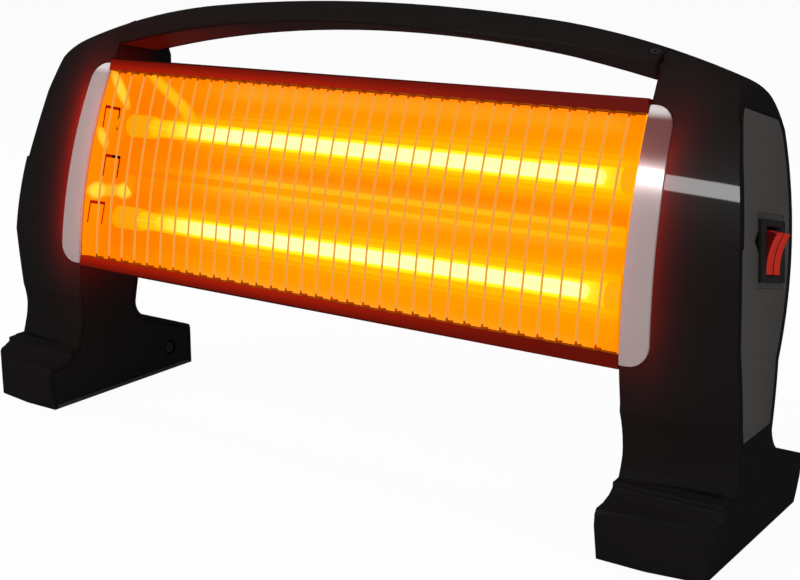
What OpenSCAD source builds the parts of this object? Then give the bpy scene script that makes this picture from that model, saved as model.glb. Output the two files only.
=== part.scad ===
// Two-bar quartz heater: a wide low body leaning back between two hollow side
// stands with feet, joined over the top by an arched carrying handle.
// Millimetres. X runs across, the front faces -Y, Z = 0 is the floor.

/* [Overall] */
// Distance between the outer faces of the feet at the floor
width = 480; // [460:2:500]
// Height of the crest of the handle
height = 252; // [250:0.5:256]
// Depth of a foot, front to rear
foot_depth = 127; // [124:0.5:130]

/* [Side stands] */
// Width of a foot at the floor
side_w = 53.5; // [50:0.5:58]
// Thickness of the moulded walls
wall = 2.5; // [2:0.1:3]
// How far the foot's outer face flares out above the floor
foot_flare = 5; // [4:0.5:7]
// Height at which the foot's outer face is widest
flare_z = 27; // [24:0.5:30]
// How far the stand's outer face stands out from the floor edge at the waist
waist_out = 2.6; // [1:0.2:4]
// Radius of the stand's outer face, seen from the front
side_r = 590; // [560:5:640]
// How far the inner face leans in between the foot and the body
inner_step = 3.9; // [3:0.1:5]
// How far the inner face leans in from the body's foot to the crest
inner_lean = 5.2; // [4:0.2:7]
// Radius of the stand's front, seen from the side
front_r = 284; // [280:1:290]
// Radius of the stand's back, seen from the side
back_r = 226; // [220:1:232]
// How far back the front is swept at the outer end of the toe
toe_sweep = 7; // [3:0.5:9]
// How far back the front is swept at the outer end of the waist
waist_sweep = 6; // [3:0.5:8]
// Radius of the rounding between the stand's top and its outer face
top_r = 18; // [14:0.5:20]
// Width of the rim left round the side cover
cover_rim = 4; // [3.5:0.25:5]
// Height at which the side cover starts
cover_z = 60; // [58:1:66]
// Drop from the crest to the top edge of the side cover, in the middle of the feet
cover_drop = 39.8; // [38:0.2:44]
// Thickness of the side cover
cover_t = 2.6; // [2.4:0.1:3]

/* [Handle] */
// Radius of the middle of the arch
arch_r = 1150; // [1100:10:1200]
// Radius of the ends of the arch
arch_end_r = 445; // [430:5:480]
// Half length of the middle of the arch
arch_mid = 110; // [100:1:120]
// Radius of the handle's rounded top, seen from the side
cap_r = 31; // [30:0.5:33]
// Distance of the crest behind the middle of the feet
cap_y = 17.5; // [16:0.5:19]
// Drop from the crest to the handle's front lower edge
grip_front = 9.7; // [9:0.1:12]
// Drop from the crest to the handle's rear lower edge
grip_rear = 17; // [15:0.5:19]
// How far back the handle reaches from the middle of the feet
grip_y = 36; // [33:0.5:38]

/* [Heater body] */
// Lean of the body from upright, in degrees
tilt = 14; // [13:0.25:15]
// Distance of the middle of the front opening from the middle of the feet
face_y = -21.7; // [-23:0.1:-20]
// Drop from the crest to the middle of the front opening
face_drop = 100.8; // [99:0.2:103]
// Height of the front opening along the lean
opening_h = 115; // [110:0.5:117]
// Height of the rails above and below the opening
rail_h = 7; // [6:0.1:8]
// Depth of the body behind its front face
body_depth = 52.6; // [50:0.2:54]
// Thickness of the sheet metal
sheet = 1; // [0.8:0.05:1.2]
// Depth of the flange of a rail
rail_flange = 13.5; // [11:0.5:16]
// Depth of the lip of a rail
rail_lip = 8; // [6:0.5:9]

/* [Tubes] */
// Outer diameter of a quartz tube
tube_d = 11; // [10:0.5:12]
// Thickness of the quartz
quartz = 1; // [0.8:0.1:1.2]
// Distance of a tube's ends inside the stands
tube_inset = 14.1; // [12:0.1:16]
// Distance between the axes of the two tubes
tube_pitch = 57.8; // [54:0.2:60]
// Distance of the tubes behind the front face
tube_depth = 27.3; // [24:0.1:29]
// Distance of the pair's middle below the middle of the opening
tube_drop = 2.3; // [0:0.1:3]
// Outer diameter of a heating coil
coil_d = 7.7; // [7:0.1:8]
// Distance of the winding's ends inside a tube's ends
coil_inset = 17; // [15:0.5:24]
// Diameter of the coil's wire
coil_wire = 1; // [0.8:0.05:1.2]
// Curls in one coil
coil_turns = 32; // [24:1:36]
// Radius of a reflector trough
trough_r = 20; // [18:0.5:21]
// Distance of a trough's floor behind its tube
trough_back = 14; // [13:0.25:15]

/* [Guard] */
// Radius of the bow of a guard wire
guard_r = 344.6; // [335:0.2:350]
// Number of guard wires
wires = 33; // [25:1:35]
// Distance of the outermost guard wires from the stands
guard_end = 11.1; // [9:0.1:12]
// Diameter of a guard wire
wire_d = 1.2; // [1:0.1:2]
// Width of a trim plate
trim_w = 15.6; // [13:0.2:17]
// Thickness of a trim plate
trim_t = 2.2; // [2:0.1:2.6]
// How far a trim plate stands proud of the stand
trim_proud = 1; // [0.6:0.1:1.4]

/* [Switch] */
// Drop from the crest to the switch's middle
switch_drop = 108; // [102:1:114]
// Distance of the switch behind the middle of the feet
switch_y = 11.4; // [9:0.2:13]
// Lean of the switch in its cover, in degrees
switch_lean = 12.4; // [10:0.2:14]
// Height of the switch's bezel
bezel_h = 29.4; // [29:0.2:31]
// Width of the switch's bezel
bezel_w = 30; // [29:0.5:31]
// Length of a rocker
rocker_l = 20; // [19:0.1:20.5]
// Width of a rocker
rocker_w = 8.5; // [8:0.1:9]
// Swing of a rocker from one side to the other, in degrees
rocker_swing = 30; // [24:1:31]
// Radius of the pin that the rockers turn on
pin_r = 1; // [0.9:0.05:1.2]

/* [Base] */
// Height of the foot's rim above the floor
rim_z = 0.8; // [0.6:0.1:1.2]
// Thickness of a base plate
plate_t = 2.5; // [2:0.1:3]
// Radius of a rubber pad
pad_r = 5; // [4:0.25:5.5]
// Distance of the pads before and behind the middle of the feet
pad_y = 46; // [44:0.5:47]
// Radius of the tip-over plunger
plunger_r = 3; // [2.5:0.1:3.5]
// Travel of the tip-over plunger
plunger_travel = 5; // [4:0.25:5.5]
// Radius of the bore of the cord inlet
inlet_r = 3.7; // [3:0.1:4]

/* [Hidden] */

// Clearances of loose and of tight fits, overlap of joined walls, and overshoot of cuts
gap = 0.3;
fit = 0.05;
lap = 0.2;
eps = 0.01;
past = 1;
half_w = width / 2;
inner_x = half_w - side_w;
reach = 300;
face_z = height - face_drop;
switch_z = height - switch_drop;

// Colours
gloss_black = "#1b1a1a";
satin_grey = "#3b3b39";
dark_metal = "#4a1410";
silver = "#b9b3b0";

// Inner face of a stand at a height
step_z = 46;
body_foot_z = 94;
function inner_at(z) = lookup(z, [[0, inner_x], [step_z, inner_x],
    [body_foot_z, inner_x - inner_step], [height, inner_x - inner_step - inner_lean]]);

// Outer face of a stand at a height
waist_z = 60;
function outer_at(z) = half_w + waist_out - side_r
    + sqrt(side_r * side_r - (z - waist_z) * (z - waist_z));

// Crest of the arch at a distance from the middle
arch_a = asin(arch_mid / arch_r);
end_cx = arch_mid - arch_end_r * sin(arch_a);
end_cz = height - arch_r + (arch_r - arch_end_r) * cos(arch_a);
function crest(x) = x < arch_mid
    ? height - arch_r + sqrt(arch_r * arch_r - x * x)
    : end_cz + sqrt(arch_end_r * arch_end_r - (x - end_cx) * (x - end_cx));

// Drop of the rounded top and of the underside below the crest, inset by g
function cap_drop(y, g) = cap_r - sqrt(pow(cap_r - g, 2) - pow(y - cap_y, 2));
function under_drop(y) = grip_front + (grip_rear - grip_front) * (y + 5) / (grip_y + 5);

// Turns a section drawn as [drop below the crest, y] along an end of the arch on the
// right, or along the middle of the arch and a little way into both ends
module arch_end(section, x_end) {
  end_a = asin((x_end - end_cx) / arch_end_r);
  translate([end_cx, 0, end_cz])
    rotate([-90, 0, 0])
      rotate([0, 0, arch_a - 90])
        rotate_extrude(angle = end_a - arch_a, $fn = 360)
          polygon([for (p = section) [arch_end_r - p[0], p[1]]]);
}
into_end = 0.1;
module arch_middle(section) {
  translate([0, 0, height - arch_r])
    rotate([-90, 0, 0])
      rotate([0, 0, -90 - arch_a - into_end])
        rotate_extrude(angle = 2 * (arch_a + into_end), $fn = 720)
          polygon([for (p = section) [arch_r - p[0], p[1]]]);
}

module both_sides() {
  children();
  mirror([1, 0, 0]) children();
}

// Extrudes an outline drawn as [x, z] along Y, and one drawn as [y, z] along X
module along_y(points) {
  translate([0, reach / 2, 0])
    rotate([90, 0, 0])
      linear_extrude(reach)
        polygon(points);
}
module along_x(points, x0, x1) {
  translate([x0, 0, 0])
    rotate([90, 0, 90])
      linear_extrude(x1 - x0)
        polygon(points);
}

// Outline of a stand from the side, as [y, z], with every wall moved in by g
front_z = 72;
front_cz = height - 172;
front_from = asin((front_z - front_cz) / front_r);
front_to = 41;
front_cy = front_r - 36.3;
back_cz = height - 49;
back_cy = 47.2 - back_r;
toe_y = -foot_depth / 2;
heel_y = foot_depth / 2;
waist_front = -34.7;
waist_fr = 45;
waist_fz = 54;
waist_back = 12.4;
waist_br = 13;
waist_bz = 55.7;
heel_slope = 70;
lip_y = 4.6;
lip_z = 35.2;
function waist_arc(g) = [for (a = [-24 : 6 : 18])
    [waist_front - waist_fr * (1 - cos(a)) + g, waist_fz + waist_fr * sin(a)]];
toe_tip = [[3.8, -eps], [0, 19]];
toe_top = [[0.3, 25], [2, 27.3], [8.6, 27.7], [15, 29.6], [18.7, 32.2], [18.7, 34.8]];
heel_top = [[2.5, 28.6], [0.7, 27.4], [0, 25.4]];
function side_outline(g) = concat(
    [for (p = toe_tip) [toe_y + p[0] + g, p[1]]],
    [for (p = toe_top) [toe_y + p[0] + g, p[1] - g]],
    [[waist_front - lip_y + g, lip_z - g]],
    waist_arc(g),
    [for (i = [0 : 20]) let (a = front_from + (front_to - front_from) * i / 20)
        [front_cy - (front_r - g) * cos(a), front_cz + (front_r - g) * sin(a)]],
    [[back_cy + back_r - g, height + 20]],
    [for (a = [0 : 3 : 30])
        [back_cy + (back_r - g) * cos(a), back_cz - (back_r - g) * sin(a)]],
    [for (a = [0 : 10 : heel_slope])
        [waist_back + waist_br - (waist_br + g) * cos(a), waist_bz - (waist_br + g) * sin(a)]],
    [for (p = heel_top) [heel_y - p[0] - g, p[1] - g]],
    [[heel_y - g, -eps]]);

// Outline that cuts the stand's front back towards its outer face, up to sweep_z
sweep_a = asin(waist_sweep / side_w);
sweep_z = 110;
sweep_y = -35.5 - waist_sweep;
function sweep_outline(g) = concat(
    [[toe_y - past, -past], [toe_y - past, lip_z - g]], waist_arc(g),
    [[sweep_y + g, sweep_z], [sweep_y + g - (height - sweep_z) / 4, height + 20],
     [heel_y + side_w, height + 20], [heel_y + side_w, -past]]);

// Outline of a stand from the front, as [x, z], with its rounded outer top
round_z = height - 40;
round_a = asin((round_z - waist_z) / side_r);
round_to = 71;
function front_outline(g_in, g_out) = concat(
    [for (z = [-eps, step_z, body_foot_z, height + 20]) [inner_at(z) + g_in, z]],
    [for (i = [10 : -1 : 0]) let (a = round_a + (round_to - round_a) * i / 10)
        [outer_at(round_z) - top_r * cos(round_a) + (top_r - g_out) * cos(a),
         round_z - top_r * sin(round_a) + (top_r - g_out) * sin(a)]],
    [for (i = [1 : 20]) let (z = round_z + (waist_z - 4 - round_z) * i / 20)
        [outer_at(z) - g_out, z]],
    [[half_w + waist_out + 1.2 - g_out, 42], [half_w + foot_flare - 1.5 - g_out, 33],
     [half_w + foot_flare - g_out, flare_z], [half_w - g_out, -eps]]);

// Floor plan of a foot, as [x, y], with the toe swept back outwards, and its end walls
// moved in by g and its outer wall by g_out
toe_r = 10;
heel_r = 12;
function foot_plan(g, g_out) = concat(
    [[inner_x - 20, toe_y + g], [inner_x, toe_y + g]],
    [for (a = [0 : 15 : 90])
        [half_w + foot_flare - g_out - toe_r * (1 - sin(a)),
         toe_y + toe_sweep + g + toe_r * (1 - cos(a))]],
    [for (a = [0 : 15 : 90])
        [half_w + foot_flare - g_out - heel_r * (1 - cos(a)),
         heel_y - g - heel_r * (1 - sin(a))]],
    [[inner_x - 20, heel_y - g]]);

// Everything under the rounded top of a stand, whose sides run on down from its round
cap_a = 70;
cap_below = 100;
cap_low = height - cap_below - past;
cap_past = 60;
module under_cap(g) {
  r = cap_r - g;
  side_drop = cap_r - r * cos(cap_a);
  side_half = r * sin(cap_a) + (cap_below - side_drop) / tan(cap_a);
  section = concat([for (a = [-cap_a : 7 : cap_a]) [cap_r - r * cos(a), cap_y + r * sin(a)]],
                   [[cap_below, cap_y + side_half], [cap_below, cap_y - side_half]]);
  arch_end(section, half_w + cap_past);
  translate([0, -reach / 2, -eps]) cube([half_w + 40, reach, cap_low]);
}

// The space of the right stand, with its walls moved in
module stand(g, g_in, g_out) {
  intersection() {
    along_x(side_outline(g), inner_x - 30, half_w + 30);
    translate([inner_x, 0, 0]) rotate([0, 0, sweep_a])
      along_x(sweep_outline(g), -30, side_w + 30);
    along_y(front_outline(g_in, g_out));
    under_cap(g);
    translate([0, 0, -1]) linear_extrude(height + 10) polygon(foot_plan(g, g_out));
  }
}

// Frame of the leaning body: x across, y rearward from the front face, z up the lean
module on_body() {
  translate([0, face_y, face_z]) rotate([-tilt, 0, 0]) children();
}
function body_point(v, u) = [face_y + v * cos(tilt) + u * sin(tilt),
                             face_z - v * sin(tilt) + u * cos(tilt)];

// Clips what spans the body to the gap between the stands
module between_stands(g) {
  intersection() {
    children();
    along_y(concat([for (z = [step_z, body_foot_z, height]) [inner_at(z) - g, z]],
                   [for (z = [height, body_foot_z, step_z]) [g - inner_at(z), z]]));
  }
}

half_open = opening_h / 2;
half_body = half_open + rail_h;
side_gap = 0.4;
tube_len = 2 * (inner_at(face_z) - tube_inset);
coil_len = tube_len - 2 * coil_inset;
tube_us = [tube_pitch / 2 - tube_drop, -tube_pitch / 2 - tube_drop];
trim_r = front_r + trim_proud;

// Outline of a trim plate from the front, as [x, z]
trim_z0 = face_z - 60.7;
trim_z1 = face_z + 59.5;
trim_cr = 11;
trim_taper = 2;
function trim_outline(g) = concat(
    [[inner_at(trim_z0) - g, trim_z0 - g]],
    [for (a = [0 : 15 : 90])
        [inner_at(trim_z0 + trim_cr) + trim_w + g - trim_cr * (1 - sin(a)),
         trim_z0 - g + trim_cr * (1 - cos(a))]],
    [for (a = [0 : 15 : 90])
        [inner_at(trim_z1 - trim_cr) + trim_w - trim_taper + g - trim_cr * (1 - cos(a)),
         trim_z1 + g - trim_cr * (1 - sin(a))]],
    [[inner_at(trim_z1) - g, trim_z1 + g]]);

// A stretch of the stand's front between two radii
module front_band(r0, r1) {
  intersection() {
    along_x(concat([for (a = [0 : 2 : 30]) [front_cy - r1 * cos(a), front_cz + r1 * sin(a)]],
                   [for (a = [30 : -2 : 0]) [front_cy - r0 * cos(a), front_cz + r0 * sin(a)]]),
            inner_x - 30, half_w);
    children();
  }
}
module trim_pocket(g) {
  front_band(trim_r - trim_t - g, trim_r + 5) along_y(trim_outline(g));
}

// Section of the handle's top as [drop, y], moved in by g
grip_deep = 30;
function grip_section(g) =
    let (y0 = cap_y - (cap_r - g) * sin(cap_a), y1 = grip_y - g)
    concat([for (i = [0 : 20]) let (y = y0 + (y1 - y0) * i / 20) [cap_drop(y, g), y]],
           [[grip_deep, y1], [grip_deep, y0]]);

// Everything above the handle's underside, whose arch is tighter than the crest's
under_r = 840;
module over_underside(g) {
  half = asin((inner_x + 10) / under_r);
  translate([0, 0, height - under_r])
    rotate([-90, 0, 0])
      rotate([0, 0, -90 - half])
        rotate_extrude(angle = 2 * half, $fn = 720)
          polygon([[under_r - under_drop(-30) + g, -30], [under_r - under_drop(60) + g, 60],
                   [under_r + 60 + g, 60], [under_r + 60 + g, -30]]);
}

// The handle's front edge is swept back towards its ends
seam_x = inner_at(height - 25);
plan_back = 6.5;
plan_r = (seam_x * seam_x + plan_back * plan_back) / (2 * plan_back);
grip_front_y = -5.6;
module plan_front(g) {
  translate([0, grip_front_y + plan_r, 0])
    cylinder(r = plan_r - g, h = height + 20, $fn = 360);
}

// The tongue of a stand that the handle's end slides over, and its root
tongue_l = 20;
tongue_g = wall + gap;
module tongue(g) {
  intersection() {
    arch_end(grip_section(tongue_g - g), half_w);
    over_underside(tongue_g - g);
    plan_front(tongue_g - g);
    translate([seam_x - tongue_l - g, -reach / 2, 0])
      cube([tongue_l + 3 * wall + g, reach, height + 10]);
  }
}
root_t = 3;
module tongue_root() {
  intersection() {
    arch_end(grip_section(0), half_w);
    over_underside(0);
    stand(wall / 2, 0, 0);
    translate([seam_x + 2 * wall, -reach / 2, 0]) cube([root_t, reach, height]);
  }
}

// Places of the screws and pads under a foot, and of the panel screw
foot_mid = (inner_x + half_w) / 2;
screw_ys = [-44, 30];
panel_screw = [44, 15.6];
pad_xs = [foot_mid - 15.5, foot_mid + 13];
plate_z = rim_z + plate_t;
boss_r = 4;
pilot_r = 1.3;
shank_r = 1.7;
head_r = 3.2;
cup_r = 5;
cup_d = 3.4;
base_screw_l = 13;
panel_screw_l = 15;
handle_screw_l = 7;
panel_head_h = 2;
spare = 2.5;

// Cord inlet in the heel of the right foot
inlet_z = 14;
inlet_len = 12;
inlet_flange = 8;
inlet_body = 6;
inlet_rim = 1.5;
module at_inlet() {
  translate([foot_mid, heel_y, inlet_z]) rotate([90, 0, 0]) children();
}

// Heights that the side cover spans, moved out by g
seat_w = 3;
module cover_span(g) {
  along_x([for (y = [toe_y, heel_y]) [y, height - cover_drop + g - y * tan(tilt)],
           [heel_y, cover_z - g], [toe_y, cover_z - g]], 0, half_w + 40);
}

module shell(has_inlet) {
  difference() {
    union() {
      difference() {
        stand(0, 0, 0);
        stand(wall, -5, cover_t + wall + lap);
        // seat of the side cover, and the window behind it
        intersection() {
          stand(cover_rim - gap, 0, -3);
          along_y(concat([for (z = [height : -8 : cover_z - 8]) [outer_at(z) + 3, z]],
                         [for (z = [cover_z - 8 : 8 : height])
                             [outer_at(z) - cover_t - gap, z]]));
          cover_span(gap);
        }
        intersection() {
          stand(cover_rim + seat_w, 0, 0);
          cover_span(-seat_w);
          translate([outer_at(height) - 12, -reach / 2, 0]) cube([60, reach, height]);
        }
      }
      intersection() {
        stand(0, wall + gap, 0);
        for (y = screw_ys)
          translate([foot_mid, y, plate_z + gap]) cylinder(r = boss_r, h = 60, $fn = 32);
      }
      intersection() {
        stand(1, 0, 1);
        translate([inner_x + cup_d + wall + gap, panel_screw[0], panel_screw[1]])
          rotate([0, 90, 0]) cylinder(r = boss_r, h = side_w, $fn = 32);
      }
      tongue(0);
      tongue_root();
    }
    trim_pocket(gap);
    for (y = screw_ys)
      translate([foot_mid, y, 0])
        cylinder(r = pilot_r, h = base_seat + base_screw_l + spare, $fn = 24);
    translate([inner_x, panel_screw[0], panel_screw[1]])
      rotate([0, 90, 0])
        cylinder(r = pilot_r, h = cup_d + panel_screw_l + spare, $fn = 24);
    translate([0, -reach / 2, -1]) cube([half_w + 40, reach, 1 + rim_z]);
    handle_screw_hole(pilot_r);
    if (has_inlet) {
      at_inlet() cylinder(r = inlet_body + gap, h = inlet_len, $fn = 64);
      at_inlet() cylinder(r = inlet_flange + gap, h = inlet_rim, $fn = 64);
    }
  }
}

handle_screw_x = seam_x - 4;
handle_screw_y = 8.5;
handle_head_r = 2.8;
handle_head_h = 1.2;
handle_sink = 1;
module at_handle_screw() {
  a = asin((handle_screw_x - end_cx) / arch_end_r);
  b = asin((cap_y - handle_screw_y) / cap_r);
  translate([end_cx, 0, end_cz])
    rotate([0, a, 0])
      translate([0, cap_y, arch_end_r - cap_r])
        rotate([b, 0, 0])
          translate([0, 0, cap_r])
            children();
}
module handle_screw_hole(r) {
  at_handle_screw() translate([0, 0, -handle_sink - handle_screw_l - spare])
    cylinder(r = r, h = handle_screw_l + spare + 2 * past, $fn = 24);
}

module inner_panel() {
  difference() {
    union() {
      intersection() {
        stand(wall + gap, 0, 0);
        along_y([for (p = [[0, -eps], [0, step_z], [0, body_foot_z], [0, height],
                           [wall, height], [wall, body_foot_z], [wall, step_z],
                           [wall, -eps]]) [inner_at(p[1]) + p[0], p[1]]]);
      }
      translate([inner_x, panel_screw[0], panel_screw[1]])
        rotate([0, 90, 0]) cylinder(r = cup_r + 1.6, h = cup_d + wall, $fn = 48);
    }
    // screw recess, window behind the end plate, and the way for the tongue
    translate([inner_x - 1, panel_screw[0], panel_screw[1]])
      rotate([0, 90, 0]) cylinder(r = cup_r, h = cup_d + 1, $fn = 48);
    translate([inner_x - 1, panel_screw[0], panel_screw[1]])
      rotate([0, 90, 0]) cylinder(r = shank_r, h = 12, $fn = 24);
    on_body() translate([inner_x - 20, 14, -45]) cube([30, 34, 86]);
    tongue(gap);
    translate([0, -reach / 2, -1]) cube([half_w, reach, 1 + plate_z + gap]);
  }
}

// The side cover follows the stand's outer face
module cover(has_switch) {
  difference() {
    intersection() {
      stand(cover_rim, 0, 0);
      along_y(concat([for (z = [height : -8 : cover_z - 8]) [outer_at(z) + 3, z]],
                     [for (z = [cover_z - 8 : 8 : height]) [outer_at(z) - cover_t, z]]));
      cover_span(0);
    }
    if (has_switch) {
      at_switch() translate([-recess_h / 2, -recess_w / 2, -recess_d])
        cube([recess_h, recess_w, 5]);
      at_switch() translate([pointer_x, -recess_w / 2, -recess_d])
        linear_extrude(5)
          polygon([[-pointer_w / 2, eps], [pointer_w / 2, eps], [0, -pointer_l]]);
      at_switch() translate([-body_h / 2 - gap, -body_w / 2 - gap, -10])
        cube([body_h + 2 * gap, body_w + 2 * gap, 20]);
    }
  }
}

// Frame on the right cover: x down the face, y rearward, z outward
switch_a = asin((switch_z - waist_z) / side_r);
recess_h = bezel_h + 6;
recess_w = bezel_w + 2.6;
recess_d = 0.9;
pointer_x = -4;
pointer_w = 10.5;
pointer_l = 4.6;
body_h = bezel_h - 3;
body_w = bezel_w - 4;
body_d = 16;
tab_w = 6.3;
tab_t = 0.8;
tab_l = 7;
tab_ys = [-7, 0, 7];
bezel_t = 1.9;
rocker_gap = 0.3;
slot_l = rocker_l + 3.2;
slot_w = 2 * rocker_w + 4 * rocker_gap;
slot_d = 8;
pivot_z = -2.2;
rocker_h = 5.9;
module at_switch() {
  translate([outer_at(switch_z), switch_y, switch_z])
    rotate([0, 90 - switch_a, 0])
      rotate([0, 0, -switch_lean])
        children();
}

module switch_box() {
  at_switch() difference() {
    union() {
      translate([-bezel_h / 2, -bezel_w / 2, -recess_d + 0.05])
        cube([bezel_h, bezel_w, bezel_t]);
      translate([-body_h / 2, -body_w / 2, -body_d])
        cube([body_h, body_w, body_d]);
      for (y = tab_ys)
        translate([-tab_w / 2, y - tab_t / 2, -body_d - tab_l])
          cube([tab_w, tab_t, tab_l + 1]);
    }
    translate([-slot_l / 2, -slot_w / 2, -slot_d]) cube([slot_l, slot_w, slot_d + 5]);
    translate([0, -body_w / 2 - 1, pivot_z])
      rotate([-90, 0, 0]) cylinder(r = pin_r + fit, h = body_w + 2, $fn = 32);
  }
}

// A rocker, drawn level and turned to the side it rests on
hub_r = 2.8;
module rocker(side) {
  at_switch()
    translate([0, side * (rocker_w / 2 + rocker_gap), pivot_z])
      rotate([0, rocker_swing / 2, 0])
        difference() {
          rotate([90, 0, 0])
            translate([0, 0, -rocker_w / 2])
              linear_extrude(rocker_w)
                polygon(concat(
                    [[-rocker_l / 2, -2.5], [-rocker_l / 2, rocker_h]],
                    [for (x = [-0.4 : 0.1 : 0.4])
                        [x * rocker_l, rocker_h - 1.5 * (1 - 4 * x * x)]],
                    [[rocker_l / 2, rocker_h], [rocker_l / 2, -2.5],
                     [hub_r, -hub_r], [-hub_r, -hub_r]]));
          rotate([90, 0, 0])
            cylinder(r = pin_r + fit, h = rocker_w + 2, center = true, $fn = 32);
        }
}

// Floor plate of a foot, with counterbores for its screws and seats for its pads
pad_sink = 1;
base_head_h = 1.4;
base_seat = rim_z + base_head_h + 0.1;
plunger_y = 4;
module base_plate(has_plunger) {
  difference() {
    intersection() {
      stand(wall + gap, 0, cover_t + wall + lap + gap);
      translate([0, -reach / 2, rim_z]) cube([half_w + 40, reach, plate_t]);
    }
    for (y = screw_ys) {
      translate([foot_mid, y, -past]) cylinder(r = shank_r, h = plate_z + 2 * past, $fn = 24);
      translate([foot_mid, y, -1]) cylinder(r = head_r + gap, h = 1 + base_seat, $fn = 32);
    }
    for (x = pad_xs, y = [-pad_y, pad_y])
      translate([x, y, -1]) cylinder(r = pad_r + fit, h = 1 + rim_z + pad_sink, $fn = 48);
    if (has_plunger)
      translate([foot_mid, plunger_y, -past])
        cylinder(r = plunger_r + gap, h = plate_z + 2 * past, $fn = 48);
  }
}
module pads() {
  for (x = pad_xs, y = [-pad_y, pad_y])
    translate([x, y, 0]) cylinder(r = pad_r, h = rim_z + pad_sink, $fn = 48);
}

// A cross-headed screw that points up, the seat of its head at the origin
module screw(r, head_h, length) {
  difference() {
    union() {
      translate([0, 0, -head_h]) cylinder(r = r, h = head_h, $fn = 32);
      cylinder(r = pilot_r - fit, h = length, $fn = 24);
    }
    for (a = [0, 90])
      rotate([0, 0, a]) translate([-r * 0.6, -0.35, -head_h - 1]) cube([r * 1.2, 0.7, 1.7]);
  }
}

// Section of the handle's hollow, open below, and the thickness of the plate that closes it
plate_y = 1;
under_t = 2.2;
function hollow_section(g) =
    let (y0 = plate_y + g, y1 = grip_y - wall - g)
    concat([for (i = [0 : 12]) let (y = y0 + (y1 - y0) * i / 12) [cap_drop(y, wall + g), y]],
           [[grip_deep + past, y1], [grip_deep + past, y0]]);

// The middle of the arch is drawn this much slimmer, so that its ends lie inside the rest
slim = 0.02;
module grip_shell() {
  difference() {
    intersection() {
      union() {
        arch_middle(grip_section(slim));
        both_sides() arch_end(grip_section(0), half_w);
      }
      over_underside(0);
      plan_front(0);
    }
    intersection() {
      union() {
        arch_middle(hollow_section(slim));
        both_sides() arch_end(hollow_section(0), half_w + 1);
      }
      plan_front(wall);
    }
    both_sides() handle_screw_hole(shank_r);
    both_sides() at_handle_screw() translate([0, 0, -handle_sink])
      cylinder(r = handle_head_r + gap, h = handle_sink + past, $fn = 32);
  }
}
module grip_plate() {
  difference() {
    intersection() {
      over_underside(0);
      translate([-half_w, plate_y + gap, 0])
        cube([width, grip_y - wall - plate_y - 2 * gap, height]);
      plan_front(wall + gap);
    }
    over_underside(under_t);
  }
}

// Guard wires: arcs that end in short legs on the lips of the rails
wire_r = wire_d / 2;
knee = 0.1;
rail_t = 1.2;
guard_bow = 4.1;
guard_v = guard_r - guard_bow;
guard_u = 1.2;
leg_u = half_open - wire_r - knee - fit;
leg_l = 5.5;
function guard_depth(u) = guard_v - sqrt(guard_r * guard_r - (u - guard_u) * (u - guard_u));
wire_pitch = 2 * (inner_at(face_z) - guard_end) / (wires - 1);
function wire_x(i) = (i - (wires - 1) / 2) * wire_pitch;
module guard_wire(x) {
  low = asin((-leg_u - guard_u) / guard_r);
  high = asin((leg_u - guard_u) / guard_r);
  on_body() {
    translate([x, guard_v, guard_u])
      rotate([90, 0, 90])
        rotate([0, 0, 180 - high])
          rotate_extrude(angle = high - low, $fn = 96)
            translate([guard_r, 0]) circle(r = wire_r, $fn = 16);
    for (u = [-leg_u, leg_u])
      translate([x, guard_depth(u), u]) {
        sphere(r = wire_r + knee, $fn = 16);
        rotate([-90, 0, 0]) cylinder(r = wire_r + knee / 2, h = leg_l, $fn = 16);
      }
  }
}

// Rail above the opening: front wall, flange on top, and lip below that holds the wires
module rail_bar() {
  along_x([[0, half_open], [rail_lip, half_open], [rail_lip, half_open + rail_t],
           [rail_t, half_open + rail_t], [rail_t, half_body - rail_t],
           [rail_flange, half_body - rail_t], [rail_flange, half_body], [0, half_body]],
          -half_w, half_w);
}

// Back of the body: a folded sheet with chamfered edges and vent slots
chamfer_v = 20.6;
chamfer_u = 15.8;
vent_l = 16;
vent_w = 3;
vents = 14;
vent_end = 25.5;
vent_pitch = 2 * (inner_x - vent_end) / vents;
vent_u = 30;
module body_back() {
  v0 = rail_flange + gap;
  v1 = body_depth - chamfer_v;
  bend = atan2(chamfer_v, chamfer_u) / 2;
  inner_u = half_body - chamfer_u - sheet * tan(45 - bend);
  inner_v = v1 - sheet * tan(bend);
  between_stands(side_gap)
    on_body()
      difference() {
        along_x([[v0, half_body], [v1, half_body], [body_depth, half_body - chamfer_u],
                 [body_depth, chamfer_u - half_body], [v1, -half_body], [v0, -half_body],
                 [v0, sheet - half_body], [inner_v, sheet - half_body],
                 [body_depth - sheet, -inner_u], [body_depth - sheet, inner_u],
                 [inner_v, half_body - sheet], [v0, half_body - sheet]], -half_w, half_w);
        for (i = [0 : vents - 1], u = [-vent_u, vent_u])
          translate([(i - (vents - 1) / 2) * vent_pitch - vent_l / 2,
                     body_depth - 5, u - vent_w / 2])
            cube([vent_l, 10, vent_w]);
      }
}

// Reflector: one sheet bent into a trough behind each tube
trough_v = tube_depth + trough_back - trough_r;
ridge_v = 20;
ridge_half = 2;
flank_u = half_open - 0.2;
flank_v = 9.5;
sheet_v = 1.4;
function trough(u, from, to) = [for (b = [from : -10 : to])
    [trough_v + trough_r * cos(b), u + trough_r * sin(b)]];
module mirror_sheet() {
  front = concat([[flank_v, flank_u]], trough(tube_us[0], 60, -50),
                 [[ridge_v, ridge_half - tube_drop], [ridge_v, -ridge_half - tube_drop]],
                 trough(tube_us[1], 50, -60), [[flank_v, -flank_u]]);
  last = len(front) - 1;
  between_stands(side_gap + sheet + gap)
    on_body()
      along_x(concat(front, [for (i = [last : -1 : 0]) [front[i][0] + sheet_v, front[i][1]]]),
              -half_w, half_w);
}

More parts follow.
